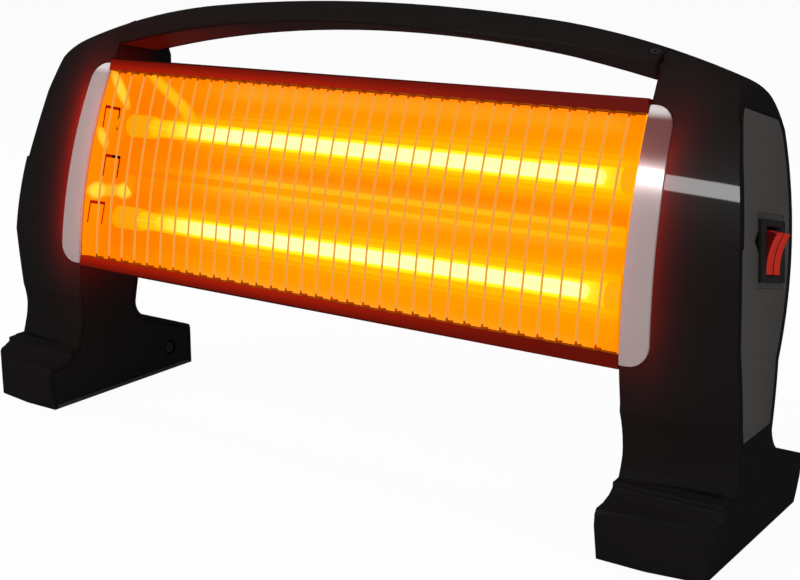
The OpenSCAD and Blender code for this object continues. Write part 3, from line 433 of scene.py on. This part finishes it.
def curved_front(tree, normal, radius, lift):
    """The true normal of the stands' curved front for points on it, and where those are.

    Elsewhere the given normal stays. lift raises the centre that the true normal points from.
    """
    arm = vector_node(tree, "SUBTRACT", object_place(tree), (0, FRONT_Y, FRONT_Z))
    level = vector_node(tree, "MULTIPLY", arm, (0, 1, 1))
    true = vector_node(tree, "NORMALIZE", vector_node(tree, "SUBTRACT", level, (0, 0, lift)))
    at = parts_of(tree, arm)
    off = math_node(tree, "SUBTRACT", vector_node(tree, "LENGTH", level), radius)
    arc = math_node(tree, "LESS_THAN", math_node(tree, "ABSOLUTE", off), FRONT_SLACK)
    # the facet that sweeps the front back towards the stand's outer face
    across = math_node(tree, "ABSOLUTE", at.x)
    wide = math_node(tree, "POWER", math_node(tree, "ADD", across, SIDE_R - SIDE_X), 2.0)
    high = math_node(tree, "POWER", math_node(tree, "ADD", at.z, FRONT_Z - SIDE_Z), 2.0)
    side = math_node(tree, "SQRT", math_node(tree, "ADD", wide, high))
    facet = product(tree, math_node(tree, "LESS_THAN", side, SIDE_R - FACET_INSET),
                    math_node(tree, "GREATER_THAN", across, FACET_X),
                    math_node(tree, "LESS_THAN", off, FRONT_SLACK),
                    math_node(tree, "GREATER_THAN", off, -FACET_DEPTH))
    on_front = product(tree, math_node(tree, "MAXIMUM", arc, facet),
                       math_node(tree, "GREATER_THAN", at.z, FRONT_FROM),
                       math_node(tree, "LESS_THAN", at.z, FRONT_TO),
                       math_node(tree, "LESS_THAN", at.y, 0.0))
    return mixed(tree, on_front, normal, true, kind="VECTOR"), on_front


def grained(name, colour, roughness, variation=0.05, scale=900.0, bump=0.02, dust=0.02,
            metallic=0.0, coat=0.0, specular=0.5, rounding=0.0, front=0.0, lift=0.0):
    """A plastic, paint or metal with grain, dust and a broad change of roughness.

    rounding softens its edges in the light. With it go front, the radius of the stands' curved
    front that the piece lies on, lift, which raises the centre of that curve, and coat, a clear
    coat on that front alone.
    """
    material, tree, shader = new_material(name)
    grain = add(tree, "ShaderNodeGroup", {"Roughness": roughness, "Variation": variation,
                                          "Scale": scale, "Dust": dust},
                node_tree=grain_group())
    dusty = [min(1.0, DUST_KEEPS * part + DUST_PALE) for part in colour]
    relief = add(tree, "ShaderNodeBump", {"Strength": bump, "Distance": GRAIN_DEPTH,
                                          "Height": grain.outputs["Height"]})
    feed(tree, shader, {
        "Base Color": mixed(tree, grain.outputs["Dust"], colour, dusty),
        "Roughness": grain.outputs["Roughness"], "Normal": relief.outputs["Normal"],
        "Metallic": metallic, "Coat Roughness": COAT_ROUGHNESS, "Specular IOR Level": specular})
    if rounding:
        soft = add(tree, "ShaderNodeBevel", {"Radius": rounding}, samples=ROUNDING_SAMPLES)
        normal, on_front = curved_front(tree, soft.outputs["Normal"], front, lift)
        feed(tree, relief, {"Normal": normal})
        feed(tree, shader, {"Coat Normal": normal, "Coat Weight": product(tree, on_front, coat)})
    return material, tree, shader


def add_glow(tree, shader, colour, edge):
    """Adds the warm light of the opening to a material, as faint emission."""
    glow = add(tree, "ShaderNodeGroup", {"Reach": GLOW_REACH, "Edge": edge},
               node_tree=glow_group())
    shine(tree, shader, mixed(tree, glow.outputs["Mask"], (0, 0, 0), colour))


# ---------------------------------------------------------------- finishes

@made_once("materials", "Gloss black plastic")
def gloss_black(name):
    """Glossy plastic that catches the red of the opening beside it."""
    material, tree, shader = grained(name, colours().plastic, 0.3, variation=0.03, scale=1400.0,
                                     bump=0.006, dust=0.004, coat=0.42, specular=0.06,
                                     rounding=sizes().moulded_edge, front=FRONT_R)
    add_glow(tree, shader, (0.42, 0.006, 0.0), STAND_GLOW_X)
    return material


@made_once("materials", "Underside black")
def underside_black(name):
    """The handle's closing plate, lit a faint red from below."""
    material, tree, shader = grained(name, colours().plastic, 0.35, variation=0.03,
                                     scale=1400.0, bump=0.01, dust=0.004)
    middle_red = (0.010, 0.0004, 0.0)
    end_red = (0.07, 0.002, 0.0)
    across = math_node(tree, "ABSOLUTE", body_place(tree).x)
    ends = ramp_between(tree, across, 60 * MM, 170 * MM)
    shine(tree, shader, mixed(tree, ends, middle_red, end_red))
    return material


@made_once("materials", "Satin grey plastic")
def satin_grey(name):
    """The covers' grey, with painted shade that turns their lowered edge and pointer before the
    switch black.
    """
    material, tree, shader = grained(name, colours().cover, 0.42, variation=0.05, scale=2600.0,
                                     bump=0.12, dust=0.02, specular=0.4)
    # painted shade: black where the cover sinks below its face before the switch
    recess_shade_black = (0.006, 0.006, 0.006)
    place = object_place(tree)
    out = vector_node(tree, "DOT_PRODUCT", place, SWITCH_OUT)
    along = vector_node(tree, "DOT_PRODUCT", place, PIN_AXIS)
    apart = vector_node(tree, "DISTANCE", place, SWITCH_MIDDLE)
    pointer = product(tree, math_node(tree, "LESS_THAN", out, SWITCH_FACE - POINTER_DROP),
                      math_node(tree, "LESS_THAN", apart, POINTER_REACH),
                      math_node(tree, "LESS_THAN", along, PIN_MIDDLE - POINTER_AHEAD))
    feed(tree, shader, {"Base Color": mixed(tree, pointer, colours().cover, recess_shade_black)})
    return material


@made_once("materials", "Base plastic")
def base_grey(name):
    return grained(name, (0.03, 0.03, 0.03), 0.5, scale=1800.0, bump=0.15, dust=0.04)[0]


@made_once("materials", "Pad rubber")
def rubber(name):
    return grained(name, (0.02, 0.02, 0.02), 0.75, scale=1500.0, bump=0.3, dust=0.08)[0]


@made_once("materials", "Zinc steel")
def zinc(name):
    return grained(name, (0.55, 0.55, 0.54), 0.32, variation=0.1, scale=3000.0, bump=0.1,
                   metallic=1.0)[0]


@made_once("materials", "Silver trim")
def silver_trim(name):
    """Pinkish silver, whose right plate mirrors the dark and the red above the opening as a
    painted reflection, with a painted highlight along the top of both plates.
    """
    material, tree, shader = grained(name, colours().trim, 0.14, variation=0.03, scale=3500.0,
                                     bump=0.01, dust=0.01, metallic=0.2, coat=0.6,
                                     rounding=TRIM_SHADED_EDGE, front=FRONT_R + TRIM_PROUD,
                                     lift=TRIM_LIFT)
    # painted reflection of the dark and the red on the right plate, and a painted highlight along
    # the top
    mirrored = (0.20, 0.075, 0.07)
    painted_top_highlight = (0.85, 0.80, 0.78)
    at = parts_of(tree, object_place(tree))
    upper_right = product(tree, ramp_between(tree, at.z, 176 * MM, 190 * MM),
                          ramp_between(tree, at.z, 211 * MM, 204 * MM),
                          math_node(tree, "GREATER_THAN", at.x, 0.0))
    shaded = mixed(tree, upper_right, colours().trim, mirrored)
    # painted highlight along the top of both plates
    tip = ramp_between(tree, at.z, 204 * MM, 209 * MM)
    feed(tree, shader, {"Base Color": mixed(tree, tip, shaded, painted_top_highlight)})
    add_glow(tree, shader, (0.22, 0.03, 0.015), TRIM_GLOW_X)
    return material


@made_once("materials", "Rail enamel")
def rail_enamel(name):
    """Dark enamel whose front wall shines a deep red, brighter beside the opening."""
    material, tree, shader = grained(name, colours().rail, 0.4, variation=0.05, scale=2000.0,
                                     bump=0.03, dust=0.004, specular=0.05)
    far_red, near_red, right_red = (0.14, 0.003, 0.0), (0.36, 0.009, 0.0), (0.10, 0.002, 0.0)
    lip_dark = (0.006, 0.0, 0.0)
    inner_dark = (0.012, 0.0004, 0.0)
    at = body_place(tree)
    height = math_node(tree, "ABSOLUTE", at.z)
    red = mixed(tree, ramp_between(tree, height, 64.0 * MM, 57.5 * MM), far_red, near_red)
    red = mixed(tree, ramp_between(tree, height, 63.4 * MM, 63.9 * MM), red, lip_dark)
    red = mixed(tree, ramp_between(tree, at.x, -60 * MM, 190 * MM), red, right_red)
    front_wall = math_node(tree, "LESS_THAN", at.y, 0.6 * MM)
    shine(tree, shader, mixed(tree, front_wall, inner_dark, red))
    return material


@made_once("materials", "Back enamel")
def back_enamel(name):
    return grained(name, (0.022, 0.022, 0.022), 0.48, scale=1600.0, bump=0.25, dust=0.05)[0]


@made_once("materials", "Guard wire")
def guard_wire_steel(name):
    """Steel wire with a painted peach glow before the opening, that stays dark in its hooks with
    painted shade and a dimmer painted red glow.
    """
    # the hooks' darker steel is painted shade; the peach and the hooks' red are painted glow
    steel, hook_shade_steel = (0.1, 0.05, 0.02), (0.02, 0.004, 0.002)
    peach, hook_red = (0.70, 0.31, 0.05), (0.30, 0.045, 0.0)
    material, tree, shader = grained(name, steel, 0.45, scale=4000.0, metallic=0.2,
                                     specular=0.1)
    height = math_node(tree, "ABSOLUTE", body_place(tree).z)
    hook = ramp_between(tree, height, 54.2 * MM, 55.6 * MM)
    shine(tree, shader, mixed(tree, hook, peach, hook_red))
    feed(tree, shader, {"Base Color": mixed(tree, hook, steel, hook_shade_steel)})
    return material


def bands_of(tree, height):
    """The reflector's painted bands of orange light from the coils, by the height up the lean."""
    bands = add(tree, "ShaderNodeValToRGB")
    stops = bands.color_ramp.elements
    for index, (place, green) in enumerate(BANDS):
        position = place / (2 * BANDS_HALF) + 0.5
        if index < 2:
            stops[index].position = position
        else:
            stops.new(position)
        stops[index].color = (1.0, green, 0.0, 1)
    feed(tree, bands, {"Fac": math_node(tree, "MULTIPLY_ADD", height,
                                        0.5 / (BANDS_HALF * MM), 0.5)})
    return bands.outputs["Color"]


@made_once("materials", "Lit reflector")
def mirror_metal(name):
    """Polished sheet lit by the coils: warm bands along the troughs, deeper to the ends."""
    # painted light of the coils: the orange base colour and the emission below
    material, tree, shader = grained(name, (0.5, 0.1, 0.004), 0.3, variation=0.06, scale=500.0,
                                     bump=0.02, metallic=1.0)
    end_orange, glint_yellow = (1.0, 0.20, 0.0), (1.0, 0.58, 0.01)
    halo_yellow = (1.0, 0.52, 0.0)
    at = body_place(tree)
    lit = mixed(tree, ramp_between(tree, at.x, -40 * MM, -175 * MM), bands_of(tree, at.z),
                end_orange)
    # painted reflection: a yellow glint at the upper left
    glint_patch = spot(tree, at.x, at.z, (-148 * MM, 46 * MM), (9 * MM, 20 * MM), turn=22)
    lit = mixed(tree, product(tree, glint_patch, 0.85), lit, glint_yellow)
    # the tubes' yellow halo at their left ends
    for tube in TUBE_US:
        halo = spot(tree, at.x, at.z, (-132 * MM, tube + 2 * MM), (42 * MM, 11 * MM))
        lit = mixed(tree, product(tree, halo, 0.75), lit, halo_yellow)
    shine(tree, shader, lit, LIT_METAL)
    return material


@made_once("materials", "Lit chamber end")
def end_metal(name):
    """Chamber end that mirrors the tubes as painted light: orange, with bright streaks and spots
    that are painted reflections of them.
    """
    material, tree, shader = grained(name, (0.5, 0.12, 0.005), 0.35, scale=700.0, metallic=1.0)
    front_orange, back_orange = (1.0, 0.25, 0.0), (1.0, 0.19, 0.0)
    reflection_yellow = (1.0, 0.78, 0.05)
    at = body_place(tree)
    lit = mixed(tree, ramp_between(tree, at.y, -5 * MM, 30 * MM), front_orange, back_orange)
    for centre, half, turn, level in END_REFLECTIONS:
        tube_reflection = spot(tree, at.y, at.z, Vector(centre) * MM, Vector(half) * MM, turn)
        lit = mixed(tree, product(tree, tube_reflection, level), lit, reflection_yellow)
    shine(tree, shader, lit, LIT_METAL)
    return material


def heat_along(tree, left_cold, left_hot, right_hot, right_cold):
    """How hot a tube is along its length: 0 beyond the cold places, 1 between the hot ones."""
    x = body_place(tree).x
    return product(tree, ramp_between(tree, x, left_cold, left_hot),
                   ramp_between(tree, x, right_cold, right_hot))


@made_once("materials", "Hot coil")
def hot_coil(name):
    """Glowing wire, white-yellow along the middle and fading towards the left lead."""
    material, tree, shader = grained(name, (0.6, 0.3, 0.1), 0.5, scale=3000.0)
    end_orange, middle_white = (1.15, 0.52, 0.0), (2.6, 1.9, 0.95)
    heat = heat_along(tree, -146 * MM, -92 * MM, 142 * MM, 152 * MM)
    shine(tree, shader, mixed(tree, heat, end_orange, middle_white))
    return material


@made_once("materials", "Glowing quartz")
def quartz(name):
    """Clear quartz that carries a soft yellow glow from the coil inside it."""
    material, tree, shader = grained(name, (0.3, 0.15, 0.02), 0.12, variation=0.02, scale=300.0,
                                     bump=0.01, specular=0.2)
    end_orange, middle_yellow = (1.15, 0.52, 0.0), (1.5, 0.95, 0.02)
    feed(tree, shader, {"Alpha": 0.32})
    heat = heat_along(tree, -158 * MM, -96 * MM, 144 * MM, 160 * MM)
    shine(tree, shader, mixed(tree, heat, end_orange, middle_yellow))
    return material


@made_once("materials", "Warm ceramic")
def ceramic(name):
    """The tubes' caps, lit orange, a little more yellow at the right."""
    material, tree, shader = grained(name, (0.08, 0.02, 0.004), 0.6, scale=1200.0, bump=0.2,
                                     specular=0.05)
    left_orange, right_orange = (1.0, 0.38, 0.0), (1.0, 0.42, 0.0)
    right = math_node(tree, "GREATER_THAN", body_place(tree).x, 0.0)
    shine(tree, shader, mixed(tree, right, left_orange, right_orange), LIT_CERAMIC)
    return material


@made_once("materials", "Rocker red")
def rocker_red(name):
    """Red, with painted shade that makes it deeper on the rockers' cheeks than on their pressed
    faces.
    """
    material, tree, shader = grained(name, colours().rocker, 0.35, scale=2500.0, bump=0.03,
                                     dust=0.01, specular=0.15)
    # painted shade on the rockers' cheeks
    shaded_cheek_red = (0.13, 0.003, 0.002)
    along = vector_node(tree, "DOT_PRODUCT", object_place(tree), PIN_AXIS)
    side = math_node(tree, "ABSOLUTE", math_node(tree, "SUBTRACT", along, PIN_MIDDLE))
    off = math_node(tree, "ABSOLUTE", math_node(tree, "SUBTRACT", side, ROCKER_SIDE))
    shaded_cheek = ramp_between(tree, off, 3.9 * MM, 4.15 * MM)
    feed(tree, shader, {"Base Color": mixed(tree, shaded_cheek, colours().rocker, shaded_cheek_red)})
    return material


@made_once("materials", "Switch black")
def switch_black(name):
    return grained(name, (0.018, 0.017, 0.017), 0.38, scale=2600.0, bump=0.08)[0]


@made_once("materials", "Moulded white")
def moulded_white(name):
    return grained(name, (0.78, 0.76, 0.7), 0.45, scale=1500.0, bump=0.1)[0]


def insulation(name, colour):
    return grained(name, colour, 0.45, scale=1500.0, bump=0.1)[0]


# ---------------------------------------------------------------- mesh helpers

def select_none():
    for other in bpy.context.selected_objects:
        other.select_set(False)


def only(obj):
    """Selects one object and makes it the active one."""
    select_none()
    obj.select_set(True)
    bpy.context.view_layer.objects.active = obj


def paint(obj, material):
    """Gives an object one material in place of those that it has."""
    obj.data.materials.clear()
    obj.data.materials.append(material)


def paint_node(name, material):
    paint(NODES[name], material)


def finish_piece(obj, node, body, material):
    """Gives a piece its material and its body, and hides the CAD node that it stands for."""
    paint(obj, material)
    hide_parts(node)
    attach(obj, body)


def eased(node, name, radius, body, material):
    """Puts a copy of a CAD piece with its sharp edges rounded in place of it."""
    obj = bpy.data.objects.new(name, NODES[node].data.copy())
    bpy.context.scene.collection.objects.link(obj)
    only(obj)
    bpy.ops.object.mode_set(mode="EDIT")
    bpy.ops.mesh.select_all(action="SELECT")
    bpy.ops.mesh.remove_doubles(threshold=MERGE_WITHIN)
    bpy.ops.mesh.dissolve_limited(angle_limit=FLAT_WITHIN)
    bpy.ops.object.mode_set(mode="OBJECT")
    bevel = obj.modifiers.new("Eased edges", "BEVEL")
    bevel.width = radius
    bevel.segments = EDGE_SEGMENTS
    bevel.limit_method = "ANGLE"
    bevel.angle_limit = SHARP_FROM
    bevel.use_clamp_overlap = True
    bevel.miter_outer = "MITER_ARC"
    bpy.ops.object.modifier_apply(modifier=bevel.name)
    bpy.ops.object.shade_smooth_by_angle(angle=SMOOTH_WITHIN)
    finish_piece(obj, node, body, material)


# ---------------------------------------------------------------- operators

class HeaterStage(bpy.types.Operator):
    """Sets the camera, the lights, the world and the floor"""
    bl_idname = "heater.stage"
    bl_label = "Stage"

    def execute(self, context):
        scene = context.scene
        scene.view_settings.view_transform = "Standard"
        self.make_camera(scene)
        self.make_world(scene)
        self.make_lights(scene)
        self.make_floor()
        return {"FINISHED"}

    def make_camera(self, scene):
        data = bpy.data.cameras.new("Camera")
        camera = bpy.data.objects.new("Camera", data)
        scene.collection.objects.link(camera)
        scene.camera = camera
        azimuth = math.radians(CAMERA_AZIMUTH)
        elevation = math.radians(CAMERA_ELEVATION)
        roll = math.radians(CAMERA_ROLL)
        back = Vector((math.sin(azimuth) * math.cos(elevation),
                       -math.cos(azimuth) * math.cos(elevation), math.sin(elevation)))
        right = Vector((math.cos(azimuth), math.sin(azimuth), 0))
        up = back.cross(right)
        turned_right = right * math.cos(roll) + up * math.sin(roll)
        turned_up = up * math.cos(roll) - right * math.sin(roll)
        matrix = Matrix((turned_right, turned_up, back)).transposed().to_4x4()
        matrix.translation = CAMERA_PLACE
        camera.matrix_world = matrix
        data.sensor_fit = "HORIZONTAL"
        data.sensor_width = SENSOR_MM
        data.lens = FOCAL_PX * SENSOR_MM / FRAME_PX

    def make_world(self, scene):
        """White to the camera and through glass, dim in mirrors, and an even light otherwise"""
        world = bpy.data.worlds.new("Studio")
        scene.world = world
        world.use_nodes = True
        tree = world.node_tree
        even = tree.nodes["Background"]
        feed(tree, even, {"Color": SKY_COLOUR, "Strength": SKY_STRENGTH})
        dim = add(tree, "ShaderNodeBackground", {"Strength": MIRRORED_SKY})
        white = add(tree, "ShaderNodeBackground", {"Color": WHITE, "Strength": 1.0})
        path = add(tree, "ShaderNodeLightPath")
        seen = math_node(tree, "MAXIMUM", path.outputs["Is Camera Ray"],
                         path.outputs["Is Transmission Ray"])
        low = mixed_shader(tree, path.outputs["Is Glossy Ray"], even, dim)
        sky = mixed_shader(tree, seen, low, white)
        feed(tree, tree.nodes["World Output"], {"Surface": sky.outputs[0]})

    def make_lights(self, scene):
        for name, place, size, power in SOFTBOXES:
            softbox = self.lamp(scene, name, place, SOFTBOX_AIM, size, power)
            softbox.visible_glossy = False
        strip = self.lamp(scene, "Strip", STRIP_PLACE, STRIP_AIM, STRIP_WIDTH, STRIP_POWER)
        strip.data.shape = "RECTANGLE"
        strip.data.size_y = STRIP_HEIGHT

    def lamp(self, scene, name, place, aim, size, power):
        data = bpy.data.lights.new(name, "AREA")
        data.shape = "SQUARE"
        data.size = size
        data.energy = power
        obj = bpy.data.objects.new(name, data)
        scene.collection.objects.link(obj)
        obj.location = place
        direction = Vector(aim) - Vector(place)
        obj.rotation_euler = direction.to_track_quat("-Z", "Y").to_euler()
        return obj

    def make_floor(self):
        """A pale floor that keeps the shadow, and is nearly white to the camera"""
        select_none()
        bpy.ops.mesh.primitive_plane_add(size=FLOOR_SIZE, location=(0, 0, 0))
        floor = bpy.context.object
        floor.name = "Floor"
        floor.visible_glossy = False
        material, tree, shader = new_material("Pale floor")
        feed(tree, shader, {"Base Color": FLOOR_COLOUR, "Roughness": FLOOR_ROUGHNESS,
                            "Specular IOR Level": FLOOR_SPECULAR})
        white = add(tree, "ShaderNodeEmission", {"Strength": 1.0})
        path = add(tree, "ShaderNodeLightPath")
        seen = product(tree, path.outputs["Is Camera Ray"], FLOOR_WHITE)
        surface = mixed_shader(tree, seen, shader, white)
        feed(tree, tree.nodes["Material Output"], {"Surface": surface.outputs[0]})
        floor.data.materials.append(material)


class HeaterStands(bpy.types.Operator):
    """Finishes the side stands, their panels, covers and floor plates"""
    bl_idname = "heater.stands"
    bl_label = "Stands"

    def execute(self, context):
        for side in ("right", "left"):
            paint_node(side + "_side_shell", gloss_black())
            paint_node(side + "_inner_panel", gloss_black())
            eased(side + "_side_cover", side + "_cover_plate", sizes().edge, ROOT,
                  satin_grey())
            paint_node(side + "_base_plate", base_grey())
        eased("rubber_pads", "pad_set", PAD_EDGE, ROOT, rubber())
        return {"FINISHED"}


class HeaterHandle(bpy.types.Operator):
    """Finishes the arched carrying handle and the plate that closes it"""
    bl_idname = "heater.handle"
    bl_label = "Handle"

    def execute(self, context):
        eased("handle_shell", "handle_arch", sizes().edge, ROOT, gloss_black())
        paint_node("handle_underside", underside_black())
        return {"FINISHED"}


class HeaterTrims(bpy.types.Operator):
    """Finishes the silver trim plates at both sides of the opening"""
    bl_idname = "heater.trims"
    bl_label = "Trims"

    def execute(self, context):
        for side in ("right", "left"):
            eased(side + "_trim", side + "_trim_plate", TRIM_EDGE, ROOT,
                  silver_trim())
        return {"FINISHED"}


class HeaterGuard(bpy.types.Operator):
    """Finishes the rails and the upright guard wires"""
    bl_idname = "heater.guard"
    bl_label = "Guard"

    def execute(self, context):
        for rail in ("top_rail", "bottom_rail"):
            paint_node(rail, rail_enamel())
        paint_node("guard_wires", guard_wire_steel())
        return {"FINISHED"}


class HeaterChamber(bpy.types.Operator):
    """Finishes the reflector, the ends of the chamber and the back of the body"""
    bl_idname = "heater.chamber"
    bl_label = "Chamber"

    def execute(self, context):
        paint_node("reflector", mirror_metal())
        for side in ("right", "left"):
            paint_node(side + "_end_plate", end_metal())
        paint_node("housing_back", back_enamel())
        return {"FINISHED"}


class HeaterTubes(bpy.types.Operator):
    """Makes the glowing coils and finishes the quartz tubes, caps, clips and terminals"""
    bl_idname = "heater.tubes"
    bl_label = "Tubes"

    def execute(self, context):
        for name, u in zip(("upper", "lower"), TUBE_US):
            self.wind(name, u)
            paint_node(name + "_quartz_tube", quartz())
            paint_node(name + "_end_caps", ceramic())
        for node in ("cap_clips", "tube_terminals"):
            paint_node(node, zinc())
        return {"FINISHED"}

    def wire_path(self):
        """A close winding round the X axis, with a straight lead at each end."""
        count = sizes().coil_turns * TURN_POINTS
        path = [(-LEAD_END, 0.0, 0.0)]
        for i in range(count + 1):
            turns_from_end = min(i, count - i) / TURN_POINTS
            r = sizes().coil_radius * min(1.0, turns_from_end)
            a = 2 * math.pi * i / TURN_POINTS
            path.append((sizes().coil_length * (i / count - 0.5), r * math.cos(a),
                         r * math.sin(a)))
        path.append((LEAD_END, 0.0, 0.0))
        return path

    def wind(self, name, u):
        """Winds the wire of the tube that lies at the height u up the lean."""
        y = FACE_Y + TUBE_DEPTH * math.cos(LEAN) + u * math.sin(LEAN)
        z = FACE_Z - TUBE_DEPTH * math.sin(LEAN) + u * math.cos(LEAN)
        path = self.wire_path()
        curve = bpy.data.curves.new(name + "_winding", "CURVE")
        curve.dimensions = "3D"
        curve.bevel_depth = WIRE_R
        curve.bevel_resolution = 1
        curve.use_fill_caps = True
        spline = curve.splines.new("POLY")
        spline.points.add(len(path) - 1)
        for point, (px, py, pz) in zip(spline.points, path):
            point.co = (px, py + y, pz + z, 1)
        obj = bpy.data.objects.new(name + "_winding", curve)
        bpy.context.scene.collection.objects.link(obj)
        only(obj)
        bpy.ops.object.convert(target="MESH")
        bpy.ops.object.shade_smooth()
        finish_piece(bpy.context.object, name + "_heating_coil", ROOT, hot_coil())


class HeaterSwitch(bpy.types.Operator):
    """Finishes the switch housing, its two rockers and their pin"""
    bl_idname = "heater.switch"
    bl_label = "Switch"

    def execute(self, context):
        eased("switch_housing", "switch_frame", SWITCH_EDGE, ROOT,
              switch_black())
        for side in ("front", "rear"):
            node = side + "_rocker"
            eased(node, side + "_red_rocker", ROCKER_EDGE, node, rocker_red())
        paint_node("rocker_pin", zinc())
        return {"FINISHED"}


class HeaterFasteners(bpy.types.Operator):
    """Finishes the screws of the feet, the panels and the handle"""
    bl_idname = "heater.fasteners"
    bl_label = "Fasteners"

    def execute(self, context):
        paint_node("base_screws", zinc())
        paint_node("panel_screws", switch_black())
        eased("handle_screws", "handle_screw_set", SCREW_EDGE, ROOT,
              switch_black())
        return {"FINISHED"}


class HeaterWiring(bpy.types.Operator):
    """Finishes the wires, the terminal block, the cord inlet and the tip-over switch"""
    bl_idname = "heater.wiring"
    bl_label = "Wiring"

    def execute(self, context):
        paint_node("mains_wires", insulation("Brown insulation", (0.2, 0.07, 0.03)))
        paint_node("return_wires", insulation("Blue insulation", (0.04, 0.12, 0.4)))
        for node in ("terminal_block", "tip_plunger"):
            paint_node(node, moulded_white())
        for node in ("cord_inlet", "tip_switch"):
            paint_node(node, switch_black())
        return {"FINISHED"}


STEPS = (HeaterStage, HeaterStands, HeaterHandle, HeaterTrims, HeaterGuard, HeaterChamber,
         HeaterTubes, HeaterSwitch, HeaterFasteners, HeaterWiring)


class HeaterPanel(bpy.types.Panel):
    """Lists the steps that dress the heater"""
    bl_idname = "VIEW3D_PT_heater"
    bl_label = "Quartz heater"
    bl_space_type = "VIEW_3D"
    bl_region_type = "UI"
    bl_category = "Heater"

    def draw(self, context):
        for group in (context.scene.heater_sizes, context.scene.heater_colours):
            for name in group.__annotations__:
                self.layout.prop(group, name)
        for step in STEPS:
            self.layout.operator(step.bl_idname)


CLASSES = (HeaterSizes, HeaterColours) + STEPS + (HeaterPanel,)


def register():
    for made in CLASSES:
        bpy.utils.register_class(made)
    bpy.types.Scene.heater_sizes = bpy.props.PointerProperty(type=HeaterSizes)
    bpy.types.Scene.heater_colours = bpy.props.PointerProperty(type=HeaterColours)


def unregister():
    del bpy.types.Scene.heater_colours
    del bpy.types.Scene.heater_sizes
    for made in reversed(CLASSES):
        bpy.utils.unregister_class(made)


def main():
    register()
    for step in STEPS:
        group, name = step.bl_idname.split(".")
        getattr(getattr(bpy.ops, group), name)()


if __name__ == "__main__":
    main()
